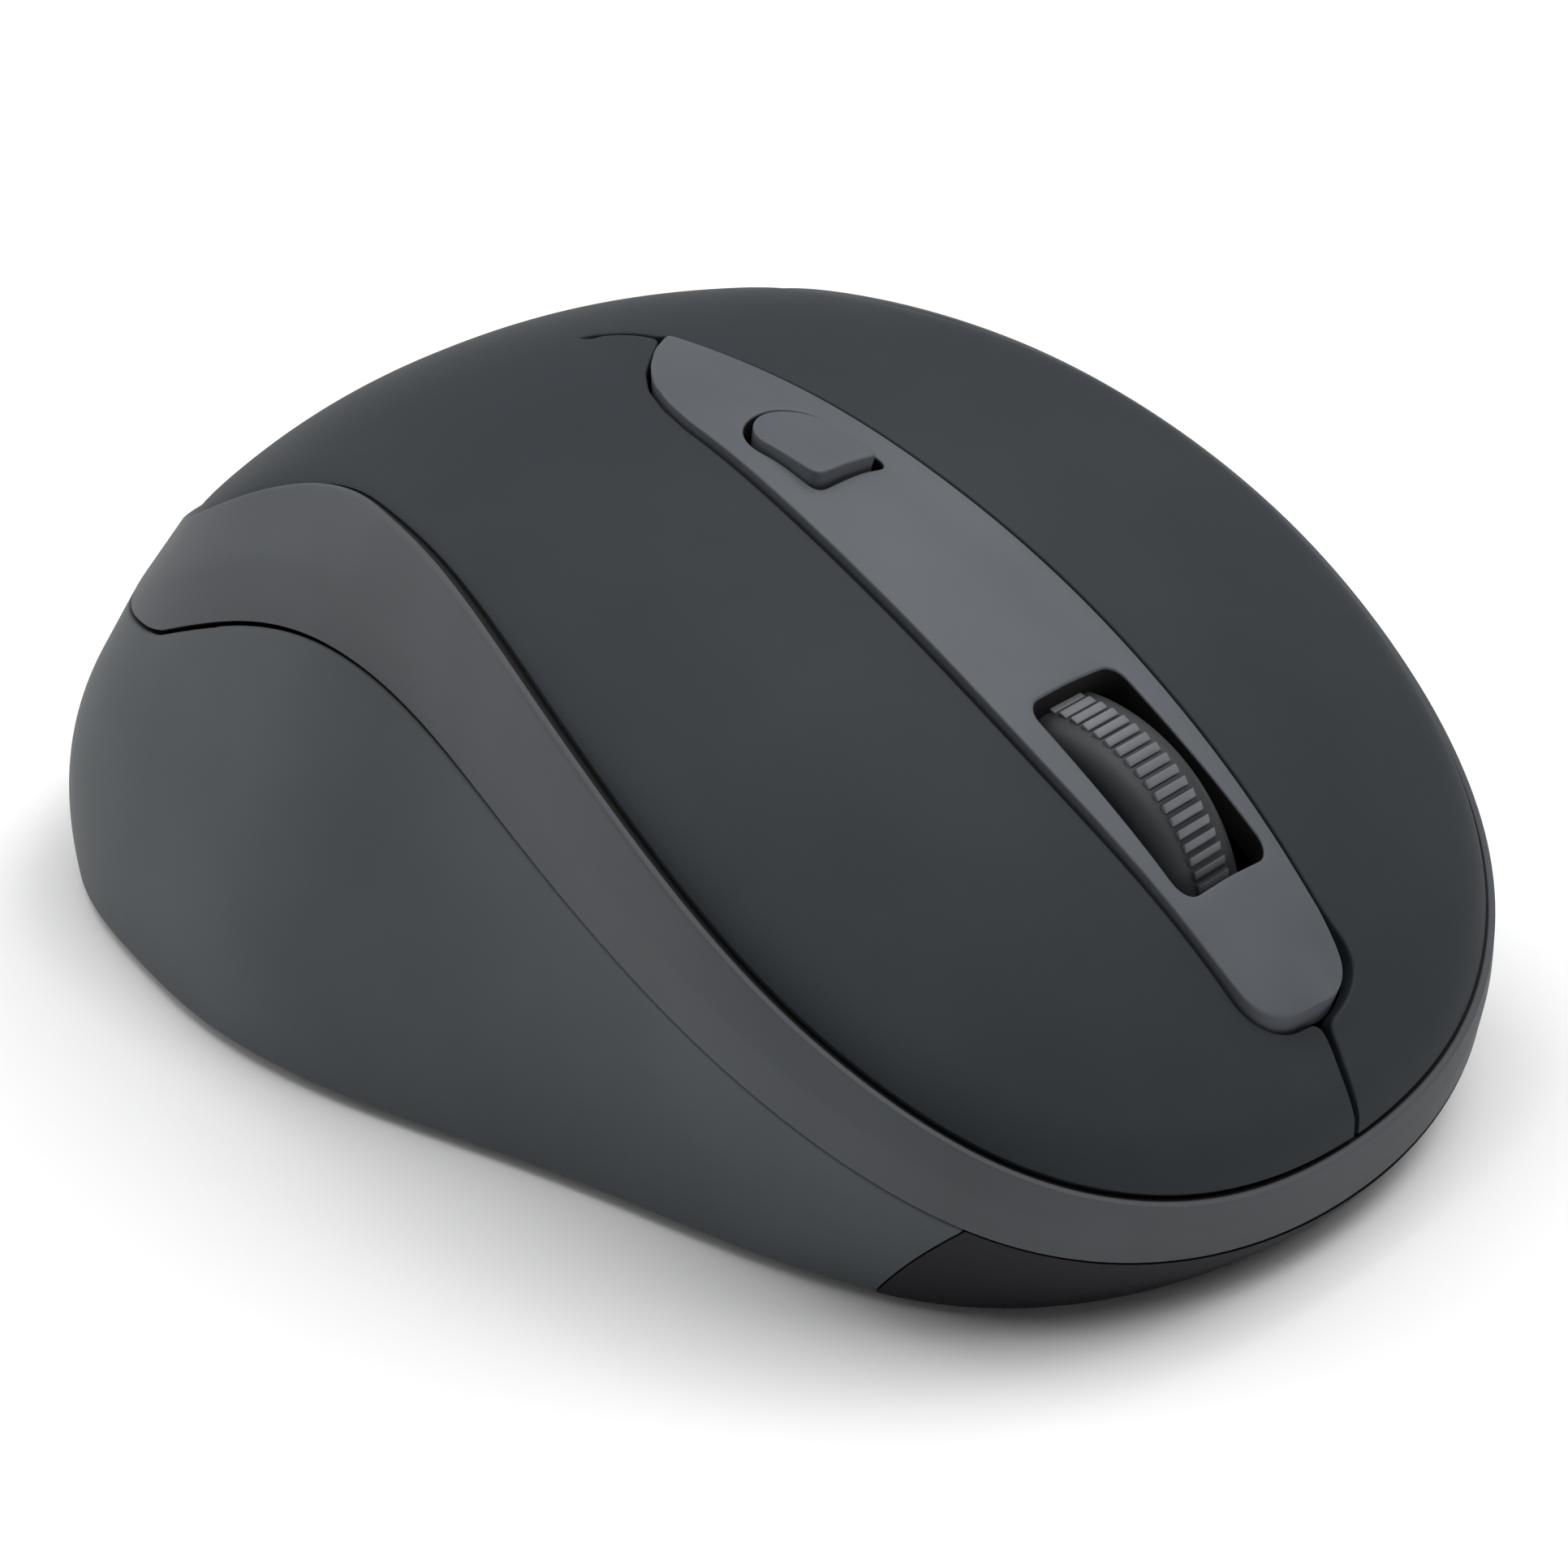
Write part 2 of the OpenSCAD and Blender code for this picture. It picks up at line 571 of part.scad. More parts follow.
module cradle_bracket() color(part_black) placed() {
    for (s = [-1, 1]) translate([s*6.3 - 0.75, 0, 0]) difference() {
        union() {
            translate([0, pivot_y - 2.2, board_top]) cube([1.5, 4.4, pivot_z - board_top]);
            translate([0, pivot_y, pivot_z]) rotate([0, 90, 0]) cylinder(h = 1.5, r = 2.2);
        }
        translate([-1, pivot_y, pivot_z]) rotate([0, 90, 0]) cylinder(h = 4, r = pivot_r + running);
    }
    translate([-7.05, pivot_y - 2.2, board_top]) cube([14.1, 1.1, 0.9]);
}

module cradle_spring() color(steel) placed() {
    coils = 3;
    wire_r = 0.2;
    coil_r = 1.1;
    low = board_top + wire_r;
    high = cradle_front_z - 0.8 - wire_r - 0.02;
    turns_n = 14*coils;
    translate([0, cradle_front_y + 0.5, 0]) sweep([for (i = [0:turns_n])
        let (a = 360*coils*i/turns_n, c = [coil_r*cos(a), coil_r*sin(a), low + (high - low)*i/turns_n],
            out = [cos(a), sin(a), 0])
        [for (b = [0, 60, 120, 180, 240, 300]) c + wire_r*(out*cos(b) + [0, 0, sin(b)])]]);
}

module scroll_emitter() color([0.25, 0.1, 0.3]) placed() {
    translate([6.8, -22.8, board_top]) cube([2.4, 3.8, 5.6]);
    translate([6.8, -20.9, 10.3]) rotate([0, -90, 0]) cylinder(h = 0.8, r = 1.1);
}

module scroll_detector() color(part_black) placed() {
    translate([-9.2, -22.8, board_top]) cube([2.4, 3.8, 5.6]);
    translate([-6.8, -20.9, 10.3]) rotate([0, 90, 0]) cylinder(h = 0.6, r = 0.9);
}

// ---------- Electronics ----------

module board_outline() difference() {
    polygon([
        [-15, -45.2], [15, -45.2], [23, -38], [24.5, -30],
        [24.5, -1.6], [-24.5, -1.6], [-24.5, -30], [-23, -38]
    ]);
    translate([-4.3, -36]) square([8.6, 18.6]);
    for (s = [-1, 1]) translate([s*front_screw.x, front_screw.y]) {
        circle(boss_r + 0.4);
        translate([-1.1, -8]) square([2.2, 8]);
    }
    for (p = board_posts, s = [-1, 1]) translate([s*p.x, p.y]) circle(1.1);
}

module circuit_board() color(board_green) placed()
translate([0, 0, board_z]) linear_extrude(board_t) board_outline();

module board_screws() color(steel) placed()
for (p = board_posts, s = [-1, 1]) translate([s*p.x, p.y, board_z]) {
    translate([0, 0, -1.8]) cylinder(h = board_t + 1.8, r = 1.0);
    translate([0, 0, board_t]) difference() {
        cylinder(h = 1.2, r = 1.9);
        translate([-1.3, -0.2, 0.7]) cube([2.6, 0.4, 1]);
        translate([-0.2, -1.3, 0.7]) cube([0.4, 2.6, 1]);
    }
}

module radio_chip() color(part_black) placed() {
    translate([10, -14, board_top]) cube([6, 6, 1]);
    for (i = [0:5]) translate([9.2, -13.6 + i, board_top]) cube([7.6, 0.4, 0.3]);
}

module crystal() color(steel) placed() translate([12, -19.5, board_top]) {
    cube([4.6, 1.2, 2.6]);
    for (x = [0, 4.6]) translate([x, 0.6, 0]) cylinder(h = 2.6, r = 0.6);
}

module sensor_chip() color(part_black) placed() {
    translate([-4.5, -9.6, board_top]) cube([9, 7.8, 2.2]);
    for (s = [-1, 1], i = [0:3]) translate([s*5 - 0.6, -9.1 + 2*i, board_top]) cube([1.2, 0.6, 0.4]);
}

module sensor_lens() color([0.8, 0.85, 0.9, 0.6]) placed() {
    translate([-5, -10, floor_top + 0.02]) cube([10, 8.4, board_z - floor_top - 0.04]);
    translate([0, -5.5, foot_h + 0.4]) cylinder(h = floor_top - foot_h - 0.3, r = 2.4);
}

module sensor_led() color([0.7, 0.1, 0.1]) placed()
translate([0, -10.6, board_top + 1.5]) rotate([90, 0, 0]) {
    cylinder(h = 1.4, r = 1.3);
    translate([-1.3, -1.5, 0]) cube([2.6, 1.5, 1.4]);
}

// A micro switch body, with a well for its plunger; at is the middle of its foot
module switch_body(at) translate([at.x, at.y, board_top]) difference() {
    union() {
        translate([-switch_size.x/2, -switch_size.y/2, 0]) cube([switch_size.x, switch_size.y, 3.2]);
        translate([-switch_size.x/2 + 0.2, -switch_size.y/2 + 0.2, 3.2 - eps]) {
            cube([switch_size.x - 0.4, switch_size.y - 0.4, switch_size.z - 3.2 - 0.3]);
        }
    }
    translate([0, 0, switch_size.z - 0.3 - well_depth]) cylinder(h = 2, r = plunger_r + 0.1);
}

module plunger(at, top) translate([at.x, at.y, board_top + switch_size.z - 0.28]) {
    cylinder(h = top - board_top - switch_size.z + 0.28, r = plunger_r);
}

module left_switch() color(part_black) placed() switch_body([switch_x, switch_y]);
module right_switch() color(part_black) placed() switch_body([-switch_x, switch_y]);
module left_plunger() color(part_white) placed()
plunger([switch_x, switch_y], board_top + switch_size.z + 0.9);

module right_plunger() color(part_white) placed()
plunger([-switch_x, switch_y], board_top + switch_size.z + 0.9);

module wheel_switch() color(part_black) placed()
translate([wheel_switch_x, wheel_switch_y, board_top]) difference() {
    union() {
        translate([-2.9, -6.4, 0]) cube([5.8, 12.8, 3]);
        translate([-2.7, -6.2, 3 - eps]) cube([5.4, 12.4, 2.7]);
    }
    translate([0, wheel_tab_y - wheel_switch_y, 5.69 - well_depth]) cylinder(h = 2, r = 1);
}

module wheel_plunger() color(part_white) placed()
translate([wheel_switch_x, wheel_tab_y, board_top + 5.72]) {
    cylinder(h = wheel_tab_z - board_top - 5.72 - 0.03, r = 0.9);
}

module mode_board() color(board_green) placed()
translate([-3.9, -8, mode_board_z]) cube([7.8, 11, board_t]);

module mode_switch() color(part_black) placed() translate([-3, -5.3, mode_board_z + board_t]) {
    difference() {
        cube([6, 6, 3.4]);
        translate([3, 3, 3.4 - well_depth]) cylinder(h = 2, r = plunger_r + 0.1);
    }
    translate([-0.3, 0.6, 0]) cube([6.6, 0.8, 0.5]);
    translate([-0.3, 4.6, 0]) cube([6.6, 0.8, 0.5]);
}

module mode_plunger() color(part_white) placed() {
    translate([0, -2.3, mode_board_z + board_t + 3.42]) cylinder(h = 1.16, r = 1.1);
}

module power_switch() color(steel) placed() translate([-17.6, -12.5, floor_top + 0.3]) {
    cube([5.3, 10, board_z - floor_top - 0.32]);
}

module power_slider() color(part_white) placed() translate([-16.4, -11.6, foot_h - 0.3]) {
    difference() {
        cube([2.4, 4, floor_top - foot_h + 0.5]);
        for (i = [0:2]) translate([-1, 0.7 + i, -0.1]) cube([5, 0.5, 0.35]);
    }
}

// ---------- Cells and receiver ----------

module battery_box() color(part_black) placed() difference() {
    low = floor_top + 0.02;
    union() {
        translate([-box_in - box_wall, -0.9, low]) cube([2*(box_in + box_wall), 47.6, 9]);
        translate([-box_in - box_wall, -0.9, low]) cube([2*(box_in + box_wall), 41.9, box_top - low]);
        translate([-15.5, 0, low]) cube([31, 42, 1]);
    }
    translate([-box_in, 0.1, 0]) cube([2*box_in, 45.8, box_top - 1]);
    translate([-box_in + 2, 9, 0]) cube([2*box_in - 4, 16, 20]);
}

// One cell with its positive cap; front is 1 when the cap faces the nose
module cell(x, front) translate([x, cell_y + 1.3 + (cell_l - 1.3)/2, cell_z]) rotate([front*90, 0, 0]) {
    body_l = cell_l - 1.3;
    cylinder(h = body_l, d = cell_d, center = true);
    translate([0, 0, body_l/2 - eps]) cylinder(h = 1.1, r = 1.9);
}

module left_cell() color([0.75, 0.55, 0.25]) placed() cell(cell_x, 1);
module right_cell() color([0.75, 0.55, 0.25]) placed() cell(-cell_x, -1);

// Coil contacts for the cells' flat ends, one at each end of the box
module cell_springs() color(steel) placed() {
    translate([cell_x, 44.6, cell_z]) rotate([-90, 0, 0]) {
        for (i = [0:1]) translate([0, 0, 0.7*i]) cylinder(h = 0.5, r = 2.2 + 0.8*i);
        cylinder(h = 1.2, r = 1);
    }
    translate([-cell_x, 1.26, cell_z]) rotate([90, 0, 0]) cylinder(h = 0.8, r = 3);
}

module cell_plates() color(steel) placed() {
    translate([cell_x - 4, 0.11, cell_z - 4]) cube([8, 0.08, 8]);
    translate([-cell_x - 4, 45.65, cell_z - 3]) cube([8, 0.2, 6]);
}

module receiver_cap() color(part_black) placed() {
    size = receiver_size;
    translate([receiver_x - size.x/2, receiver_y - size.y/2, foot_h + 0.1]) difference() {
        cube([size.x, size.y, 6]);
        for (i = [0:3]) translate([-0.1, 2.2 + 3*i, 0.6]) cube([0.3, 1, 2]);
    }
}

module receiver_plug() color(steel) placed()
translate([receiver_x - 2.25, receiver_y - 6, foot_h + 6.1]) difference() {
    cube([4.5, 12, 12.5]);
    translate([0.3, 0.3, 1]) cube([1.6, 11.4, 12]);
    for (y = [2.6, 7.4]) translate([-0.1, y, 7]) cube([0.3, 2, 2.4]);
}

// ---------- Feet and fasteners ----------

module pad(size) linear_extrude(foot_h - 0.02) {
    for (s = [-1, 1]) translate([s*(size.x - size.y)/2, 0]) circle(size.y/2);
    square([size.x - size.y, size.y], center = true);
}

module front_foot() color(part_black) placed() translate([0, -41, 0]) pad([32, 6]);

module rear_feet() color(part_black) placed()
for (s = [-1, 1]) translate([s*21, 37, 0]) rotate(90) pad([14, 6]);

module case_screws() color(steel) placed() for (s = [-1, 1], p = [front_screw, rear_screw]) {
    translate([s*p.x, p.y, foot_h + 0.05]) {
        difference() {
            cylinder(h = 0.7, r = 2);
            translate([-1.4, -0.2, -0.2]) cube([2.8, 0.4, 0.6]);
            translate([-0.2, -1.4, -0.2]) cube([0.4, 2.8, 0.6]);
        }
        cylinder(h = 6, r = screw_r);
    }
}

base_shell();
rear_shell();
trim_band();
palm_cover();
left_button();
right_button();
centre_strip();
mode_button();
scroll_hub();
scroll_tyre();
scroll_cradle();
cradle_bracket();
cradle_spring();
scroll_emitter();
scroll_detector();
circuit_board();
board_screws();
radio_chip();
crystal();
sensor_chip();
sensor_lens();
sensor_led();
left_switch();
left_plunger();
right_switch();
right_plunger();
wheel_switch();
wheel_plunger();
mode_board();
mode_switch();
mode_plunger();
battery_box();
left_cell();
right_cell();
cell_springs();
cell_plates();
battery_door();
power_switch();
power_slider();
receiver_cap();
receiver_plug();
front_foot();
rear_feet();
case_screws();
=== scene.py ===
"""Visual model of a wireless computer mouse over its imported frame, for Blender 4.5.

Shapes are worked out in millimetres about the drawing centre, and placed in the frame in metres.
The nose points along -Y, the left mouse button is at +X, and the feet stand on z = 0."""

import json
import math

import bpy
import numpy as np
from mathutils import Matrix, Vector
from mathutils.geometry import delaunay_2d_cdt


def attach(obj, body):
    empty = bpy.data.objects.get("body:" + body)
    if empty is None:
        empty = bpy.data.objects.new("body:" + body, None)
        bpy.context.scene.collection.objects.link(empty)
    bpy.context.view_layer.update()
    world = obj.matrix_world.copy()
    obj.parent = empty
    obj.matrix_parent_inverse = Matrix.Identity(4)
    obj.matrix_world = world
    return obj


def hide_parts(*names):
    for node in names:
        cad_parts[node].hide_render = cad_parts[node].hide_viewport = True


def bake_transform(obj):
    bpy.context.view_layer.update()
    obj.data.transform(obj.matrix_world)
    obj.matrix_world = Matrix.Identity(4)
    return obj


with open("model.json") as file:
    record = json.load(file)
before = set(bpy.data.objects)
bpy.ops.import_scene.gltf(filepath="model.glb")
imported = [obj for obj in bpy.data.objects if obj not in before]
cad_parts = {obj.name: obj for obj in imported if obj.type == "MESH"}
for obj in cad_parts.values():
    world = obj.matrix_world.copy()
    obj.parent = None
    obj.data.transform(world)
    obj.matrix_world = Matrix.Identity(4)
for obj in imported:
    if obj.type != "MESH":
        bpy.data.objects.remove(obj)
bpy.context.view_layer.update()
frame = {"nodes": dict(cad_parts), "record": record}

MM = 0.001
MID_Y = 1.5             # the middle of the footprint, back from the drawing centre

# ---------- Sizes shared with the CAD model ----------

SPOKE_ANGLE = np.radians([0, 16, 32, 48, 64, 82, 100, 116, 130, 144, 160, 180])
LAST_SPOKE = 11
COVER_RIM_R = np.array([51.5, 52, 50, 42.5, 34, 28, 25.5, 26, 28, 41.5, 44, 47])
BAND_RIM_R = np.array([52, 52, 50.5, 43.5, 35, 29.5, 27.5, 29.5, 35, 48, 53, 53.5])
FLOOR_RIM_R = np.array([50, 49.5, 47, 39, 34, 33, 36, 40.5, 44.5, 52, 54, 54])
BAND_RIM_Z = np.array([3, 4, 8, 15.5, 20.5, 24, 26.5, 28.5, 28, 19.5, 12.5, 12])
CROWN_Z = [-4, 11, 21, 27.5, 33, 37, 40, 41, 40.5, 37, 30, 16.5, -2]
CROWN_FALL = [10, 7.5, 4.5, 4, 8, 16, 22]
CROWN_START = -60
CROWN_STEP = 10
FALL_STEP = 20
FALL_WIDTH = 35
FALL_POWER = 2.2
EDGE_DROP = [1.5, 1, 0.2, 0, 0.3]
BAND_RIDGE = [0.1, 0.35, 0.95, 0]
SHELL_SWELL = [0.2, 0.4, -1, 4, 1.5, 1.5]
STRIP_HALF = [4, 5, 6.5, 6.6, 5.8, 4.5, 3.4, 3]
STRIP_START = -55
STRIP_STEP = 12
STRIP_FRONT = -46.6
STRIP_TIP = 2.5
TIP_POWER = 2.6
STRIP_END = np.array([[-4.6, 2.5], [-4.1, 5.2], [-3.0, 7.6], [-1.3, 9.6], [0.9, 11.4], [3.3, 13.1]])
REAR_SLIT = np.array([[3.3, 13.1], [3.0, 14.6], [2.3, 15.9], [1.3, 16.9], [0, 17.5]])
FRONT_SLIT = np.array([[0.8, -46.6], [0.5, -48], [0, -49.1], [-0.3, -50.1], [-0.35, -50.7], [-0.7, -51.5],
                       [-0.8, -53]])
BAND_END = 8.6          # where the band's tips end at their lower corners, in spokes
BAND_LEAN = 1.7         # how much further they run along the cover
SHELL_FROM = 2.08       # where the lower shell starts behind the nose, in spokes
SHELL_LEAN = 0.34       # how far its part line leans back over its height
FOOT_H = 0.8
COVER_WALL = 1.2
BAND_WALL = 1.5
SHELL_WALL = 1.8
STRIP_RISE = 0.5
WHEEL_Y = -26.7
WHEEL_Z = 16.1
WHEEL_R = 12.5
TYRE_HALF = 3.7
HUB_R = 9.4
RIB_COUNT = 84
SLOT_HALF = 4.3
SLOT_FRONT = -39.5
SLOT_REAR = -26.2
SLOT_CORNER = 1.2
MODE_HALF = 3.0
MODE_FRONT = -7.3
MODE_ROUND_Y = -2.8
MODE_CORNER = 0.7

# ---------- Fine shape of the visible surfaces ----------

EDGE_ROUND = 3.0        # width of the rounded lip of the cover
LEAST_LIP = 0.45        # and the least that it drops
SCOOP_DEPTH = 0.6       # the hollow in front of the strip's tip
SCOOP_AT = [-0.8, -46.9]
SCOOP_SIZE = [3.4, 2.2]
STRIP_GAP = 0.3
STRIP_FLUSH = 0.35      # how much lower the strip's far side stands than its near side
TIP_LIFT = 0.35         # the strip's rise towards its tip
TIP_SINK = 0.5          # the tip's fall towards the far side
TIP_OPENING = 0.5       # how much wider the gap is beside the tip, on the far side
SLIT_HALF = 0.25
REAR_SLIT_HALF = 0.2
SLIT_EYE = 0.5          # half width of the opening at the rear slit's end
NOSE_PER_SPOKE = 14.2   # millimetres of cover rim in one spoke at the nose
BREAK_EDGE = 0.22       # radius of a moulded part's softened edge
BAND_TOP_EDGE = 0.45    # radius of the band's upper edge
FLOOR_EDGE = 0.4        # radius of the lower shell's bottom edge
CREASE_SOFTNESS = 0.06  # how soft the crease along the band is
SEAM_WIDTH = [0.35, 0.65, 1.0, 0.5, 0.2]        # gap between the cover and the sides, from the nose to the tail
SEAM_LIFT = [-0.15, -0.25, -0.35, 0.1, 0.1]     # how far the sides' upper edges stand over the cover's rim
RIM_INSET = [0.125, 0.15, 0.15, 0.06, 0.05]     # how far the cover's edge stays inside its rim


# ---------- Splines ----------

def weights(f):
    return np.stack([(1 - f)**3, 3*f**3 - 6*f*f + 4, 3*(f + f*f - f**3) + 1, f**3], axis=-1) / 6


def closed_spline(half, u, mirror=1):
    """A closed spline from the values of its spokes on the +X side, which the other side mirrors."""
    knots = np.concatenate([half, mirror*half[-2:0:-1]])
    i = np.floor(u).astype(int)
    w = weights(u - i)
    return sum(w[..., k]*knots[(i + k - 1) % len(knots)] for k in range(4))


def along(values, start, step, at):
    """An open spline, carried on straight past its ends."""
    v = np.array(values, float)
    v = np.concatenate([[2*v[0] - v[1]], v, [2*v[-1] - v[-2]]])
    t = np.clip((np.asarray(at, float) - start)/step, 0, len(values) - 1.001)
    i = np.floor(t).astype(int)
    w = weights(t - i)
    return sum(w[..., k]*v[i + k] for k in range(4))


def round_rim(values, u):
    folded = np.abs((u + LAST_SPOKE) % (2*LAST_SPOKE) - LAST_SPOKE)
    return along(values, 0, LAST_SPOKE/(len(values) - 1), folded)


def smooth(t):
    t = np.clip(t, 0, 1)
    return t*t*(3 - 2*t)


# ---------- Surfaces ----------

def dome(x, y):
    fall = along(CROWN_FALL, CROWN_START, FALL_STEP, y)*(np.abs(x)/FALL_WIDTH)**FALL_POWER
    return along(CROWN_Z, CROWN_START, CROWN_STEP, y) - fall


def cover_height(x, y):
    """The dome with the shallow scoop in front of the strip's rounded tip."""
    away = ((x - SCOOP_AT[0])/SCOOP_SIZE[0])**2 + ((y - SCOOP_AT[1])/SCOOP_SIZE[1])**2
    return dome(x, y) - SCOOP_DEPTH*np.exp(-away)


def strip_height(x, y):
    """The strip's top face: proud on its -X side, all but flush on its +X side, and higher at its tip."""
    tip = TIP_LIFT*smooth((-41.5 - y)/5) - TIP_SINK*smooth((x + 0.5)/4)*smooth((-42.5 - y)/2.5)
    return dome(x, y) + STRIP_RISE - STRIP_FLUSH*smooth((x + 1)/6) + tip


def rim(radii, u):
    x = closed_spline(radii*np.sin(SPOKE_ANGLE), u, -1)
    y = closed_spline(-radii*np.cos(SPOKE_ANGLE), u)
    return np.stack([x, y], axis=-1)


def raised(plan, z):
    return np.concatenate([plan, np.asarray(z)[..., None]], axis=-1)


def cover_rim(u):
    p = rim(COVER_RIM_R, u)
    return raised(p, dome(p[..., 0], p[..., 1]) - round_rim(EDGE_DROP, u))


def band_rim(u):
    return raised(rim(BAND_RIM_R, u), closed_spline(BAND_RIM_Z, u))


def floor_rim(u):
    return raised(rim(FLOOR_RIM_R, u), np.full(np.shape(u), FOOT_H))


def rim_normal(u):
    d = rim(BAND_RIM_R, u + 0.05) - rim(BAND_RIM_R, u - 0.05)
    n = np.stack([d[..., 1], -d[..., 0], np.zeros(np.shape(u))], axis=-1)
    return n/np.linalg.norm(n, axis=-1, keepdims=True)


def ridge(a):
    """A soft crease along the middle of the band: 0 at both edges."""
    up, down = 2*a, 2*(1 - a)
    return 0.5*(up + down - np.sqrt((up - down)**2 + CREASE_SOFTNESS))


def side_surface(u, v):
    """The casing's side: v runs 0 to 1 down the trim band and 1 to 2 down the lower shell."""
    top, middle, low = cover_rim(u), band_rim(u), floor_rim(u)
    a = np.clip(v, 0, 1)
    b = np.clip(v - 1, 0, 1)
    on_band = top*(1 - a)[..., None] + middle*a[..., None]
    on_shell = middle*(1 - b)[..., None] + low*b[..., None]
    swell = round_rim(BAND_RIDGE, u)*ridge(a) + round_rim(SHELL_SWELL, u)*4*b*(1 - b)
    return np.where((v <= 1)[..., None], on_band, on_shell) + rim_normal(u)*swell[..., None]


def unit(v):
    return v/np.linalg.norm(v, axis=-1, keepdims=True)


def slope_normal(height, x, y):
    e = 0.05
    dx = height(x + e, y) - height(x - e, y)
    dy = height(x, y + e) - height(x, y - e)
    return unit(np.stack([-dx, -dy, np.full(np.shape(x), 2*e)], axis=-1))


def side_normal(u, v):
    e = 0.01
    du = side_surface(u + e, v) - side_surface(u - e, v)
    dv = side_surface(u, v + e) - side_surface(u, v - e)
    n = unit(np.cross(dv, du))
    return n*np.sign(np.sum(n*rim_normal(u), axis=-1, keepdims=True))


# ---------- Mesh builders ----------

EDGE_BEND = np.radians([0, 18, 36, 54, 72, 90])     # the steps round a softened edge
SHARP_ANGLE = 38


def make_object(name, points, faces, face_slots=None, sharp=SHARP_ANGLE):
    """A smooth-shaded object from points in millimetres about the drawing centre."""
    placed = (np.asarray(points) - [0, MID_Y, 0])*MM
    mesh = bpy.data.meshes.new(name)
    mesh.from_pydata(placed.tolist(), [], faces)
    mesh.shade_smooth()
    mesh.set_sharp_from_angle(angle=math.radians(sharp))
    if face_slots is not None:
        mesh.polygons.foreach_set("material_index", face_slots)
    obj = bpy.data.objects.new(name, mesh)
    bpy.context.scene.collection.objects.link(obj)
    return obj


def slab(name, surface, normal, drop, thickness, ring=False, shade_walls=False, sharp=SHARP_ANGLE):
    """A closed wall over a grid of points, its outer face `drop` under the surface and its inner face `thickness`.

    The flag for shaded walls gives the inner face and the cut edges the second material slot, which paints them in
    shade."""
    n, m = drop.shape
    outer = surface - normal*drop[..., None]
    inner = surface - normal*np.broadcast_to(thickness, drop.shape)[..., None]
    index = np.arange(n*m).reshape(n, m)
    if ring:
        index = np.concatenate([index, index[:1]])
    a, b, c, d = index[:-1, :-1], index[1:, :-1], index[1:, 1:], index[:-1, 1:]
    under = n*m
    parts = [np.stack([a, b, c, d], axis=-1), np.stack([a, d, c, b], axis=-1) + under]
    cuts = [(index[1:, 0], index[:-1, 0]), (index[:-1, -1], index[1:, -1])]
    if not ring:
        cuts += [(index[0, :-1], index[0, 1:]), (index[-1, 1:], index[-1, :-1])]
    parts += [np.stack([first, second, second + under, first + under], axis=-1) for first, second in cuts]
    parts = [p.reshape(-1, 4) for p in parts]
    k, j = n//2, m//2
    turned = np.dot(np.cross(outer[k + 1, j] - outer[k, j], outer[k, j + 1] - outer[k, j]), normal[k, j]) < 0
    faces = np.concatenate(parts)
    if turned:
        faces = faces[:, ::-1]
    slots = np.concatenate([np.full(len(p), 1 if shade_walls and i else 0) for i, p in enumerate(parts)])
    points = np.concatenate([outer.reshape(-1, 3), inner.reshape(-1, 3)])
    return make_object(name, points, faces.tolist(), slots.astype(np.int32), sharp)


def edge_steps(length, near, far, count):
    """Distances across a strip of each length: close together over the rounded edges, even between them."""
    bend = 1 - np.cos(EDGE_BEND)
    scale = np.minimum(1, 0.8*length/(near + far))
    near, far = near*scale, far*scale
    first = near[:, None]*bend
    last = length[:, None] - far[:, None]*bend[::-1]
    t = np.linspace(0, 1, count + 2)[1:-1]
    middle = near[:, None]*(1 - t) + (length - far)[:, None]*t
    return np.concatenate([first, middle, last], axis=1)


def lines_across(evaluate, start, finish, near, far, count):
    """Samples along straight lines of a surface's own coordinates, at set distances from both ends.

    Returns the coordinates and, for each sample, the distance from the start and from the finish."""
    t = np.linspace(0, 1, 241)
    coords = start[:, None, :]*(1 - t)[None, :, None] + finish[:, None, :]*t[None, :, None]
    points = evaluate(coords[..., 0], coords[..., 1])
    steps = np.linalg.norm(np.diff(points, axis=1), axis=-1)
    reach = np.concatenate([np.zeros((len(start), 1)), np.cumsum(steps, axis=1)], axis=1)
    length = reach[:, -1]
    near = np.broadcast_to(near, length.shape).astype(float)
    far = np.broadcast_to(far, length.shape).astype(float)
    wanted = edge_steps(length, near, far, count)
    share = np.stack([np.interp(w, r, t) for w, r in zip(wanted, reach)])
    coords = start[:, None, :]*(1 - share)[..., None] + finish[:, None, :]*share[..., None]
    return coords, wanted, length[:, None] - wanted


def round_over(distance, radius):
    """Depth of a rounded edge at a distance in from it."""
    r = np.broadcast_to(radius, distance.shape)
    d = np.clip(distance, 0, r)
    return r - np.sqrt(np.maximum(r*r - (r - d)**2, 0))


def path_length(path):
    return np.concatenate([[0], np.cumsum(np.linalg.norm(np.diff(path, axis=0), axis=-1))])


def resample(path, count):
    s = path_length(path)
    t = np.linspace(0, s[-1], count)
    return np.stack([np.interp(t, s, path[:, k]) for k in range(path.shape[1])], axis=-1)


def soften(path, spacing, radius, closed=False):
    """Evenly spaced points on a path, with its corners rounded by a running mean."""
    total = path_length(np.concatenate([path, path[:1]]) if closed else path)[-1]
    count = max(int(total/spacing), 8)
    if closed:
        p = resample(np.concatenate([path, path[:1]]), count + 1)[:-1]
    else:
        p = resample(path, count)
    for _ in range(max(round(2*(radius/spacing)**2), 1)):
        if closed:
            p = 0.25*np.roll(p, 1, axis=0) + 0.5*p + 0.25*np.roll(p, -1, axis=0)
        else:
            p[1:-1] = 0.25*p[:-2] + 0.5*p[1:-1] + 0.25*p[2:]
    return p


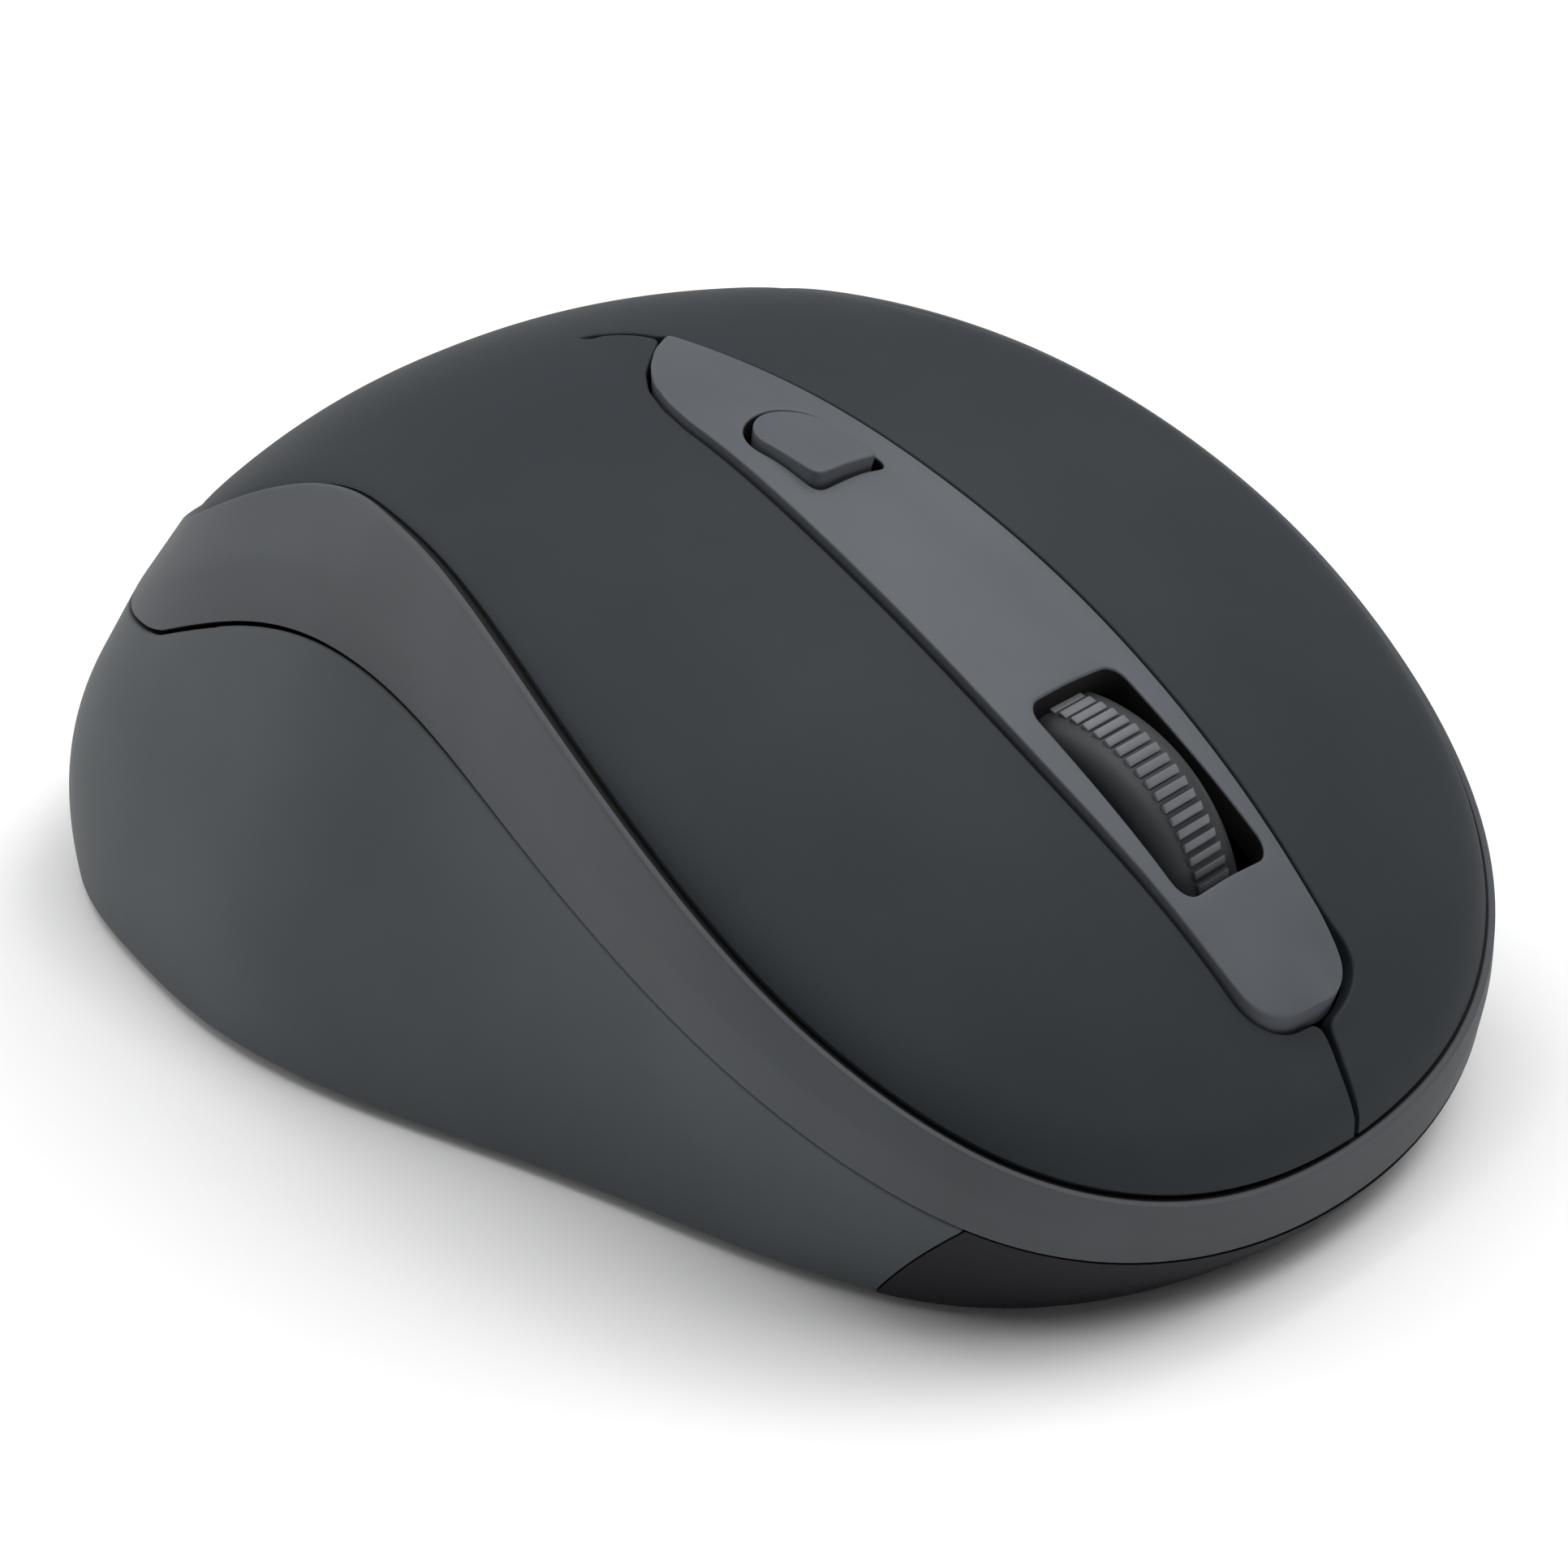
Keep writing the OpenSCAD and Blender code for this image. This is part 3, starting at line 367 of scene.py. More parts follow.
def path_normals(path, closed=False):
    """Unit normals to the right of a plan path."""
    if closed:
        d = np.roll(path, -1, axis=0) - np.roll(path, 1, axis=0)
    else:
        d = np.gradient(path, axis=0)
    return unit(np.stack([d[:, 1], -d[:, 0]], axis=-1))


def inside(points, loop):
    """Which plan points lie in a closed loop."""
    x, y = points[:, 0][:, None], points[:, 1][:, None]
    a, b = loop, np.roll(loop, -1, axis=0)
    crosses = (a[:, 1] > y) != (b[:, 1] > y)
    with np.errstate(divide="ignore", invalid="ignore"):
        at = a[:, 0] + (y - a[:, 1])*(b[:, 0] - a[:, 0])/(b[:, 1] - a[:, 1])
    return np.sum(crosses & (x < at), axis=1) % 2 == 1


def plate(name, outline, holes, height, depth, edge, grid=0.8, lean=1.0, shade_walls=False):
    """A plate over a plan outline with holes, with rounded upper edges. `height` gives its top face.

    The outline and the holes run anticlockwise. The walls stand between upright (lean 0) and square to the
    top face (1). The flag for shaded walls gives the walls of the holes the second material slot, which paints
    them in shade."""
    loops = [(outline, -1)] + [(h, 1) for h in holes]
    points, levels, faces, inner_loops, outer_rings = [], [], [], [], []
    total = 0
    for loop, sign in loops:
        out = path_normals(loop, closed=True)*sign
        rings = []
        for angle in EDGE_BEND:
            points.append(loop + out*edge*(1 - math.cos(angle)))
            levels.append(np.full(len(loop), edge*(1 - math.sin(angle))))
            rings.append(np.arange(total, total + len(loop)))
            total += len(loop)
        for low, high in zip(rings, rings[1:]):
            quads = np.stack([low, np.roll(low, -1), np.roll(high, -1), high], axis=-1)
            faces += (quads if sign < 0 else quads[:, ::-1]).tolist()
        inner_loops.append(rings[-1])
        outer_rings.append(rings[0])
    flat = np.concatenate(points)
    lo, hi = outline.min(axis=0), outline.max(axis=0)
    gx, gy = np.meshgrid(np.arange(lo[0], hi[0], grid), np.arange(lo[1], hi[1], grid))
    seeds = np.stack([gx.ravel(), gy.ravel()], axis=-1)
    keep = inside(seeds, flat[inner_loops[0]])
    for ring in inner_loops[1:]:
        keep &= ~inside(seeds, flat[ring])
    edge_points = np.concatenate([flat[ring] for ring in inner_loops])
    seeds = seeds[keep]
    near = np.min(np.linalg.norm(seeds[:, None, :] - edge_points[None], axis=-1), axis=1)
    seeds = seeds[near > 0.45*grid]

    def triangles(rings, extra):
        """Triangles over the first ring less the others, with the extra points inside."""
        source = np.concatenate([*rings, np.arange(len(extra)) + total])
        where = np.concatenate([flat[np.concatenate(rings)], extra])
        edges, first = [], 0
        for ring in rings:
            k = np.arange(len(ring))
            edges += np.stack([first + k, first + np.roll(k, -1)], axis=-1).tolist()
            first += len(ring)
        result = delaunay_2d_cdt([Vector(p) for p in where.tolist()], edges, [], 0, 1e-7)
        tri = np.array(result[2])
        origin = np.array([o[0] for o in result[3]])
        middle = np.array([list(v) for v in result[0]])[tri].mean(axis=1)
        keep = inside(middle, flat[rings[0]])
        for ring in rings[1:]:
            keep &= ~inside(middle, flat[ring])
        return source[origin[tri[keep]]]

    top = triangles(inner_loops, seeds)
    faces += top.tolist()
    plan = np.concatenate([flat, seeds])
    level = np.concatenate(levels + [np.zeros(len(seeds))])
    normal = unit(slope_normal(height, plan[:, 0], plan[:, 1])*lean + np.array([0.0, 0, 1 - lean]))
    skin = raised(plan, height(plan[:, 0], plan[:, 1]))
    upper = skin - normal*level[:, None]
    count = len(upper)
    lower_source = np.concatenate(outer_rings)
    lower = skin[lower_source] - normal[lower_source]*depth
    under = np.full(count, -1)
    under[lower_source] = count + np.arange(len(lower_source))
    bottom = triangles(outer_rings, np.zeros((0, 2)))
    faces += under[bottom][:, ::-1].tolist()
    slots = [0]*len(faces)
    for ring, (_, sign) in zip(outer_rings, loops):
        quads = np.stack([under[ring], under[np.roll(ring, -1)], np.roll(ring, -1), ring], axis=-1)
        faces += (quads if sign < 0 else quads[:, ::-1]).tolist()
        slots += [int(shade_walls and sign > 0)]*len(ring)
    return make_object(name, np.concatenate([upper, lower]), faces, np.array(slots, np.int32))


# ---------- Materials ----------

def plastic(name, colour, roughness, grain=0.05, grain_size=0.22, mottle=0.05, gloss=0.35, scuff=0.04):
    """A moulded plastic: fine spark-eroded grain, faint mottle of its colour and a varying roughness."""
    material = bpy.data.materials.new(name)
    material.use_nodes = True
    nodes, links = material.node_tree.nodes, material.node_tree.links
    shader = nodes["Principled BSDF"]
    shader.inputs["Specular IOR Level"].default_value = gloss
    place = nodes.new("ShaderNodeTexCoord")

    cloud = nodes.new("ShaderNodeTexNoise")
    cloud.inputs["Scale"].default_value = 90
    cloud.inputs["Detail"].default_value = 3
    links.new(place.outputs["Object"], cloud.inputs["Vector"])
    tint = nodes.new("ShaderNodeValToRGB")
    tint.color_ramp.elements[0].position = 0.35
    tint.color_ramp.elements[1].position = 0.65
    tint.color_ramp.elements[0].color = [c*(1 - mottle) for c in colour] + [1]
    tint.color_ramp.elements[1].color = [c*(1 + mottle) for c in colour] + [1]
    links.new(cloud.outputs["Fac"], tint.inputs["Fac"])
    links.new(tint.outputs["Color"], shader.inputs["Base Color"])

    wear = nodes.new("ShaderNodeTexNoise")
    wear.inputs["Scale"].default_value = 35
    wear.inputs["Detail"].default_value = 5
    links.new(place.outputs["Object"], wear.inputs["Vector"])
    spread = nodes.new("ShaderNodeMapRange")
    spread.inputs["From Min"].default_value = 0.3
    spread.inputs["From Max"].default_value = 0.7
    spread.inputs["To Min"].default_value = roughness - scuff
    spread.inputs["To Max"].default_value = roughness + scuff
    links.new(wear.outputs["Fac"], spread.inputs["Value"])
    links.new(spread.outputs["Result"], shader.inputs["Roughness"])

    pits = nodes.new("ShaderNodeTexNoise")
    pits.inputs["Scale"].default_value = 1000/grain_size
    pits.inputs["Detail"].default_value = 2
    links.new(place.outputs["Object"], pits.inputs["Vector"])
    bump = nodes.new("ShaderNodeBump")
    bump.inputs["Strength"].default_value = grain
    bump.inputs["Distance"].default_value = 0.00003
    links.new(pits.outputs["Fac"], bump.inputs["Height"])
    links.new(bump.outputs["Normal"], shader.inputs["Normal"])
    return material


def metal(name, colour, roughness):
    """Plated steel with fine drawn lines."""
    material = plastic(name, colour, roughness, grain=0.12, grain_size=0.3, mottle=0.08, gloss=0.5, scuff=0.08)
    material.node_tree.nodes["Principled BSDF"].inputs["Metallic"].default_value = 1
    return material


def clear(name, colour, roughness):
    """A see-through moulding."""
    material = plastic(name, colour, roughness, grain=0.02, gloss=0.5, scuff=0.02)
    material.node_tree.nodes["Principled BSDF"].inputs["Transmission Weight"].default_value = 0.85
    return material


FINISH = {
    "cover_soft": plastic("cover_soft", (0.0210, 0.0258, 0.0310), 0.62, grain=0.25, gloss=0.2),
    "band_satin": plastic("band_satin", (0.074, 0.080, 0.087), 0.58, grain=0.2, gloss=0.2),
    "side_satin": plastic("side_satin", (0.064, 0.072, 0.078), 0.58, grain=0.2, gloss=0.2),
    "base_black": plastic("base_black", (0.011, 0.011, 0.014), 0.6, grain=0.25, gloss=0.2),
    "strip_satin": plastic("strip_satin", (0.083, 0.091, 0.104), 0.5, grain=0.15, gloss=0.25),
    "tyre_rubber": plastic("tyre_rubber", (0.024, 0.027, 0.030), 0.55, grain=0.2, gloss=0.3),
    "hub_black": plastic("hub_black", (0.012, 0.012, 0.014), 0.5),
    "inner_white": plastic("inner_white", (0.60, 0.59, 0.55), 0.5),
    "inner_black": plastic("inner_black", (0.012, 0.012, 0.013), 0.5),
    "board_green": plastic("board_green", (0.012, 0.085, 0.035), 0.35, grain=0.1, mottle=0.2, gloss=0.5),
    "spring_steel": metal("spring_steel", (0.55, 0.55, 0.57), 0.28),
    "plated_steel": metal("plated_steel", (0.62, 0.61, 0.58), 0.35),
    "lens_clear": clear("lens_clear", (0.85, 0.88, 0.9), 0.08),
    "led_red": clear("led_red", (0.6, 0.02, 0.02), 0.15),
    "cell_wrap": plastic("cell_wrap", (0.42, 0.24, 0.06), 0.3, grain=0.05, mottle=0.1, gloss=0.5),
    "foot_pad": plastic("foot_pad", (0.02, 0.02, 0.022), 0.3, grain=0.1, gloss=0.5),
}
RIB_FACE = plastic("rib_face", (0.135, 0.143, 0.158), 0.5, grain=0.15, gloss=0.35)
# Near-black plastic that paints the shade inside gaps, on hole walls and under the seam
PAINTED_GAP_SHADE = plastic("painted_gap_shade", (0.008, 0.008, 0.009), 0.7, gloss=0.2)


def finish_piece(obj, slot, body="housing", replaced=(), extra=()):
    """Gives a piece its material, slot, body and the CAD nodes that it stands for. A piece given no body is left
    unattached.
    """
    obj.data.materials.append(FINISH[slot])
    for material in extra:
        obj.data.materials.append(material)
    if body:
        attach(obj, body)
    if replaced:
        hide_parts(*replaced)
    return obj


# ---------- Top cover ----------

def strip_side(y):
    """Half the strip's width, rounded off at its front tip."""
    w = along(STRIP_HALF, STRIP_START, STRIP_STEP, y)
    f = np.clip((STRIP_FRONT + STRIP_TIP - y)/STRIP_TIP, 0, 1)
    return w*(1 - f**TIP_POWER)**(1/TIP_POWER)


def strip_edges():
    """The strip's +X edge and its -X edge with the slanted rear end, both from the front tip."""
    y_tip = STRIP_FRONT + STRIP_TIP*(1 - np.cos(np.linspace(0, math.pi/2, 24)))
    far_y = np.concatenate([y_tip, np.linspace(STRIP_FRONT + STRIP_TIP, STRIP_END[-1, 1], 120)[1:]])
    near_y = np.concatenate([y_tip, np.linspace(STRIP_FRONT + STRIP_TIP, STRIP_END[0, 1], 100)[1:]])
    far = np.stack([strip_side(far_y), far_y], axis=-1)
    near = np.stack([-strip_side(near_y), near_y], axis=-1)
    return far, np.concatenate([near, STRIP_END[1:]])


def offset(path, distance):
    return path + path_normals(path)*np.broadcast_to(distance, len(path))[:, None]


def slit_x(y):
    return np.interp(y, FRONT_SLIT[::-1, 1], FRONT_SLIT[::-1, 0])


def cover_inner_edge(side):
    """Plan of the cover half's inner edge, from the nose to the tail: slit, strip gap, slit and centre line."""
    far, near = strip_edges()
    nose = rim(COVER_RIM_R, np.array([0.0]))[0, 1]
    tail = rim(COVER_RIM_R, np.array([float(LAST_SPOKE)]))[0, 1]
    if side > 0:
        # The gap opens out on the far side of the front tip
        edge = offset(far, STRIP_GAP + TIP_OPENING*np.exp(-((far[:, 1] + 45.0)/1.3)**2))
    else:
        # and closes round the near side of it
        edge = offset(near, -STRIP_GAP*(1 - 0.95*np.exp(-((near[:, 1] + 46.4)/1.6)**4)))
    slit_path = soften(REAR_SLIT, 0.3, 0.3)
    share = np.linspace(0, 1, len(slit_path))
    eye = SLIT_EYE*np.sin(math.pi*np.clip((share - 0.7)/0.3, 0, 1))
    half = np.where(share < 0.8, REAR_SLIT_HALF, eye)
    slit = offset(slit_path, side*np.maximum(half, 0.05))
    keep = side*(edge[:, 0] - slit_x(edge[:, 1])) > SLIT_HALF
    edge = edge[keep] if side > 0 else edge[keep & (edge[:, 1] < 12.6)]
    y = np.linspace(nose + 0.4, edge[0, 1], 14)[:-1]
    front = np.stack([slit_x(y) + side*SLIT_HALF, y], axis=-1)
    slit = slit[1:-1] if side > 0 else np.concatenate([[[3.05, 13.15]], slit[1:-1]])
    rear_y = np.linspace(REAR_SLIT[-1, 1] + 0.5, tail - 0.3, 40)
    rear = np.stack([np.zeros(len(rear_y)), rear_y], axis=-1)
    return np.concatenate([soften(np.concatenate([front, edge, slit, rear[:1]]), 0.25, 0.35), rear[1:]])


def cover_half(name, side):
    """One half of the top cover, from the slits and the strip's gap out to its rim."""
    lines = 420
    inner = resample(cover_inner_edge(side), lines)
    # The half starts at the slit's own edge on the nose
    start = (side*slit_x(-51.5) + SLIT_HALF)/NOSE_PER_SPOKE
    u = np.linspace(start, LAST_SPOKE - 0.04, 600)
    inset = round_rim(RIM_INSET, u)
    plan = rim(COVER_RIM_R, u)
    outer = resample(plan - rim_normal(u)[:, :2]*inset[:, None], lines)*[side, 1]
    u_at = np.interp(np.linspace(0, 1, lines), path_length(plan)/path_length(plan)[-1], u)
    on_seam = (np.abs(inner[:, 0]) < 1e-6) & (inner[:, 1] > REAR_SLIT[-1, 1])
    soft = np.where(on_seam, 1e-4, BREAK_EDGE)

    def evaluate(x, y):
        return raised(np.stack([x, y], axis=-1), cover_height(x, y))

    coords, from_inner, from_rim = lines_across(evaluate, inner, outer, BREAK_EDGE, EDGE_ROUND, 44)
    x, y = coords[..., 0], coords[..., 1]
    drop_rim = np.maximum(round_rim(EDGE_DROP, u_at), LEAST_LIP)
    lip_depth = drop_rim[:, None]*round_over(from_rim, EDGE_ROUND)/EDGE_ROUND
    surface = evaluate(x, y)
    surface[..., 2] -= lip_depth
    normal = slope_normal(cover_height, x, y)
    # The two ends of the half, at the nose slit and at the tail, stay square
    drop = round_over(from_inner, soft[:, None])
    return close_seam(slab(name, surface, normal, drop, COVER_WALL, sharp=40))


def close_seam(piece):
    """Shades the cut on the centre line behind the slit as if the cover ran on across it."""
    mesh = piece.data
    normals = np.empty(len(mesh.loops)*3, np.float32)
    mesh.corner_normals.foreach_get("vector", normals)
    normals = normals.reshape(-1, 3)
    owner = np.empty(len(mesh.loops), np.int32)
    mesh.loops.foreach_get("vertex_index", owner)
    at = np.array([v.co for v in mesh.vertices])[owner]
    seam = (np.abs(at[:, 0]) < 1e-6) & (at[:, 1] > (REAR_SLIT[-1, 1] - MID_Y)*MM) & (np.abs(normals[:, 2]) > 0.2)
    normals[seam, 0] = 0
    mesh.normals_split_custom_set(unit(normals).tolist())
    return piece


left_cover = cover_half("cover_left", 1)
right_cover = cover_half("cover_right", -1)
finish_piece(left_cover, "cover_soft", None, ["left_button", "palm_cover"])
finish_piece(right_cover, "cover_soft", None, ["right_button", "palm_cover"])
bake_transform(left_cover)
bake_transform(right_cover)

# ---------- Trim band and lower shell ----------

TIP_ROUND = 1.0         # radius of the band tips' lower corners
GROOVE = 0.14           # width of the groove between the band and the lower shell
TIP_GROOVE = 0.32       # its width round the band's tips


def mm_per_v(u, v):
    return np.linalg.norm(side_surface(u, v + 0.02) - side_surface(u, v - 0.02), axis=-1)/0.04


# Millimetres in one spoke and in one unit of height, at the band's tips and just below them
beside = [side_surface(np.array(BAND_END + step), np.array(0.95)) for step in (0.02, -0.02)]
TIP_PER_U = float(np.linalg.norm(beside[0] - beside[1])/0.04)
TIP_PER_V = float(mm_per_v(np.array(BAND_END), np.array(0.95)))
SHELL_PER_V = float(mm_per_v(np.array(BAND_END), np.array(1.05)))


def band_end(v):
    """Where the band's tip ends at each height, with its lower corner rounded."""
    r = TIP_ROUND/TIP_PER_V
    f = np.clip((v - 1 + r)/r, 0, 1)
    return BAND_END + BAND_LEAN*(1 - v) - 1.3*TIP_ROUND/TIP_PER_U*(1 - np.sqrt(np.maximum(1 - f*f, 0)))


def below_cover(u, v, surface):
    """Moves the upper edge of a side part out and down from the cover's rim by the seam."""
    share = np.clip(1 - v, 0, 1)[..., None]
    lift = round_rim(SEAM_LIFT, u)[..., None]*np.clip(1 - 1.6*v, 0, 1)[..., None]**1.5
    return surface + rim_normal(u)*round_rim(SEAM_WIDTH, u)[..., None]*share + lift*np.array([0, 0, 1])


def build_band():
    """The trim band from tip to tip, round the nose."""
    half = np.concatenate([np.linspace(0, 0.985, 190), 1 - 0.015*(1 - np.linspace(0, 1, 9)[1:])**2])
    s = np.concatenate([-half[:0:-1], half])
    start = np.stack([s, np.zeros(len(s))], axis=-1)
    finish = np.stack([s, np.ones(len(s))], axis=-1)

    def evaluate(s, v):
        return side_surface(s*band_end(v), v)

    coords, from_top, from_low = lines_across(evaluate, start, finish, BAND_TOP_EDGE, BREAK_EDGE, 40)
    v = coords[..., 1]
    u = coords[..., 0]*band_end(v)
    surface = below_cover(u, v, side_surface(u, v))
    normal = side_normal(u, np.clip(v, 0.02, 0.98))
    from_tip = (1 - np.abs(coords[..., 0]))*BAND_END*TIP_PER_U
    drop = np.maximum(round_over(from_top, BAND_TOP_EDGE), round_over(from_low, BREAK_EDGE))
    drop = np.maximum(drop, round_over(from_tip, BREAK_EDGE))
    return slab("trim_band_shell", surface, normal, drop, BAND_WALL, shade_walls=True)


def shell_top_path():
    """The lower shell's upper edge in (spokes, height): under the band, round its tip, and along the cover."""
    u = np.linspace(SHELL_FROM, BAND_END - 0.5, 240)
    groove = GROOVE + (TIP_GROOVE - GROOVE)*smooth((u - 6.6)/1.8)
    under = np.stack([u, 1 + groove/mm_per_v(u, np.full(len(u), 1.05))], axis=-1)
    # The tip's outline in millimetres, moved outwards by the groove
    v = np.concatenate([np.full(12, 1.0), 1 - 0.25*np.linspace(0, 1, 60)[1:]**2, np.linspace(0.75, 0, 40)[1:]])
    end = np.concatenate([np.linspace(BAND_END - 0.48, float(band_end(np.array(1.0))), 12), band_end(v[12:])])
    outline = np.stack([end*TIP_PER_U, (v - 1)*TIP_PER_V], axis=-1)
    moved = outline - path_normals(outline)*TIP_GROOVE
    level = np.where(moved[:, 1] > 0, moved[:, 1]/SHELL_PER_V, moved[:, 1]/TIP_PER_V)
    round_tip = np.stack([moved[:, 0]/TIP_PER_U, np.maximum(1 + level, 0)], axis=-1)
    tail = np.linspace(round_tip[-1, 0], LAST_SPOKE, 30)[1:]
    return under, round_tip, np.stack([tail, np.zeros(len(tail))], axis=-1)


def build_shell():
    """The lower shell from its part line on one side, round the tail, to the other."""
    runs = shell_top_path()
    to_mm = np.array([10, 12])
    s = path_length(np.concatenate(runs)*to_mm)
    ends = s[np.cumsum([len(r) for r in runs]) - 1]
    # The lower edge keeps pace with the upper one
    low_ends = [SHELL_FROM + SHELL_LEAN, BAND_END - 0.7, BAND_END + 1.15, LAST_SPOKE]
    low = np.interp(s, np.concatenate([[0], ends]), low_ends)
    half = resample(np.concatenate([np.concatenate(runs), low[:, None]], axis=1), 440)
    other = half[-2::-1]*[-1, 1, -1] + [2*LAST_SPOKE, 0, 2*LAST_SPOKE]
    full = np.concatenate([half, other])
    finish = np.stack([full[:, 2], np.full(len(full), 2.0)], axis=-1)
    coords, from_top, from_low = lines_across(side_surface, full[:, :2], finish, BREAK_EDGE, FLOOR_EDGE, 60)
    u, v = coords[..., 0], coords[..., 1]
    surface = below_cover(u, v, side_surface(u, v))
    normal = side_normal(u, np.clip(v, 0.02, 1.98))
    drop = np.maximum(round_over(from_top, BREAK_EDGE), round_over(from_low, FLOOR_EDGE))
    return slab("lower_shell", surface, normal, drop, SHELL_WALL)


# The band's inner face and cut edges are near-black painted shade, for the dark seams beside it
finish_piece(build_band(), "band_satin", replaced=["trim_band"], extra=[PAINTED_GAP_SHADE])
finish_piece(build_shell(), "side_satin", replaced=["rear_shell"])

# ---------- Centre strip and mode button ----------

PLAN_SPACING = 0.15
PLAN_SOFTEN = 0.1
STRIP_DEPTH = 2.0
STRIP_EDGE = 0.14
MODE_DEPTH = 3.0
MODE_EDGE = 0.16
MODE_GAP = 0.2


def arc(x, y, radius, first, sweep, count):
    """Plan points on an arc, anticlockwise from an angle in degrees."""
    angles = np.radians(np.linspace(first, first + sweep, count))
    return [[x + radius*math.cos(a), y + radius*math.sin(a)] for a in angles]


def rounded_box(half, front, rear, corner):
    """Anticlockwise plan of a slot with rounded corners."""
    middles = [(half - corner, front + corner, -90), (half - corner, rear - corner, 0),
               (-half + corner, rear - corner, 90), (-half + corner, front + corner, 180)]
    points = []
    for x, y, first in middles:
        points += arc(x, y, corner, first, 90, 10)
    return soften(np.array(points), PLAN_SPACING, PLAN_SOFTEN, closed=True)


def mode_plan(grow):
    """Anticlockwise D-shaped plan, straight at the front and round at the rear."""
    r = MODE_HALF + grow
    front = MODE_FRONT - grow + MODE_CORNER
    points = arc(MODE_CORNER - r, front, MODE_CORNER, 180, 90, 8)
    points += arc(r - MODE_CORNER, front, MODE_CORNER, -90, 90, 8)
    points += arc(0, MODE_ROUND_Y, r, 0, 180, 40)
    return soften(np.array(points), PLAN_SPACING, PLAN_SOFTEN, closed=True)


far_edge, near_edge = strip_edges()
strip_loop = soften(np.concatenate([far_edge, near_edge[-2:0:-1]]), 0.2, 0.5, closed=True)
slot_loop = rounded_box(SLOT_HALF, SLOT_FRONT, SLOT_REAR, SLOT_CORNER)
mode_hole = mode_plan(MODE_GAP)
to_hole = unit(mode_hole - [0, MODE_ROUND_Y])
# The button's hole opens out behind it and at its front corner
opening = 0.5*np.clip(to_hole @ [-0.86, 0.5], 0, 1)**4 + 0.3*np.clip(to_hole @ [0.52, -0.85], 0, 1)**60
mode_hole += to_hole*opening[:, None]
# The walls of the wheel slot and of the mode button's hole take the near-black painted shade
strip = plate("strip_top", strip_loop, [slot_loop, mode_hole], strip_height, STRIP_DEPTH, STRIP_EDGE,
              lean=0.35, shade_walls=True)
finish_piece(strip, "strip_satin", replaced=["centre_strip"], extra=[PAINTED_GAP_SHADE])


def mode_height(x, y):
    """The button's top face, which rises from the strip towards its front corner."""
    return strip_height(x, y) + 0.1 - 0.05*x - 0.11*y


mode_cap = plate("mode_cap", mode_plan(0), [], mode_height, MODE_DEPTH, MODE_EDGE, grid=0.5)
finish_piece(mode_cap, "strip_satin", "mode_key", ["mode_button"])

# ---------- Scroll wheel ----------

TYRE_SHOULDER = 2.2
TYRE_TOP = WHEEL_R - 0.3
TYRE_FLAT = 1.9
RIB_HALF = 1.55
RIB_FLOOR = WHEEL_R - 0.5   # only what stands above this is cut into ribs
# Depth of the face under the rib's crest, in steps over one pitch
RIB_CUT = np.array([0.0, 0.0, 0.04, 0.06, 0.09, 0.13, 0.17, 0.32, 0.32, 0.32])


def lathe(name, profile, cut, slots=None):
    """A ring turned about the wheel's axis; the profile lists (x, radius) and closes on itself.

    `cut` is how much is taken off its face at each step round the wheel."""
    steps, m = len(cut), len(profile)
    angle = np.linspace(0, 2*math.pi, steps + 1)[:-1]
    x = np.broadcast_to(profile[:, 0], (steps, m))
    r = profile[:, 1] - np.where(profile[:, 1] > RIB_FLOOR, 1, 0)*cut[:, None]
    points = np.stack([x, WHEEL_Y + r*np.cos(angle)[:, None], WHEEL_Z + r*np.sin(angle)[:, None]], axis=-1)
    index = np.arange(steps*m).reshape(steps, m)
    a, b = index, np.roll(index, -1, axis=0)
    faces = np.stack([a, np.roll(a, -1, axis=1), np.roll(b, -1, axis=1), b], axis=-1).reshape(-1, 4)
    return make_object(name, points.reshape(-1, 3), faces.tolist(), slots, 40)


def build_tyre():
    """The tyre's smooth body with rounded shoulders."""
    angles = np.radians(np.linspace(0, 90, 12))
    right = np.stack([TYRE_FLAT + (TYRE_HALF - TYRE_FLAT)*np.cos(angles),
                      TYRE_TOP - TYRE_SHOULDER + TYRE_SHOULDER*np.sin(angles)], axis=-1)
    left = right[::-1]*[-1, 1]
    bore = np.array([[-TYRE_HALF, HUB_R - 0.4], [-2.6, HUB_R - 0.6], [2.6, HUB_R - 0.6], [TYRE_HALF, HUB_R - 0.4]])
    return lathe("wheel_tyre", np.concatenate([right, left, bore])[::-1], np.zeros(252))


def build_ribs():
    """The raised band of cross ribs: each rib's face slopes away from its crest to the hollow behind it."""
    across = RIB_HALF*np.array([1, 1, 0.97, 0.9, 0.5, 0, -0.5, -0.9, -0.97, -1, -1, 0])
    under_crest = np.array([1.0, 0.3, 0.06, 0, 0, 0, 0, 0, 0.06, 0.3, 1.0, 1.0])
    profile = np.stack([across, WHEEL_R - under_crest], axis=-1)[::-1]
    # The steps between the ribs take the darker tyre rubber: painted shade between the ribs
    hollow = np.tile(RIB_CUT > 0.3, RIB_COUNT)
    slots = np.repeat((hollow | np.roll(hollow, -1)).astype(np.int32), len(profile))
    return lathe("wheel_ribs", profile, np.tile(RIB_CUT, RIB_COUNT), slots)


finish_piece(build_tyre(), "tyre_rubber", "wheel", ["scroll_tyre"])
ribs = build_ribs()
ribs.data.materials.append(RIB_FACE)
ribs.data.materials.append(FINISH["tyre_rubber"])
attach(ribs, "wheel")
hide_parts("scroll_tyre")

# ---------- Painted shade under the seam ---

SHADE_SHEET_DEPTH = 2.3       # how far it lies under the cover's rim
SHADE_SHEET_WALL = 0.5


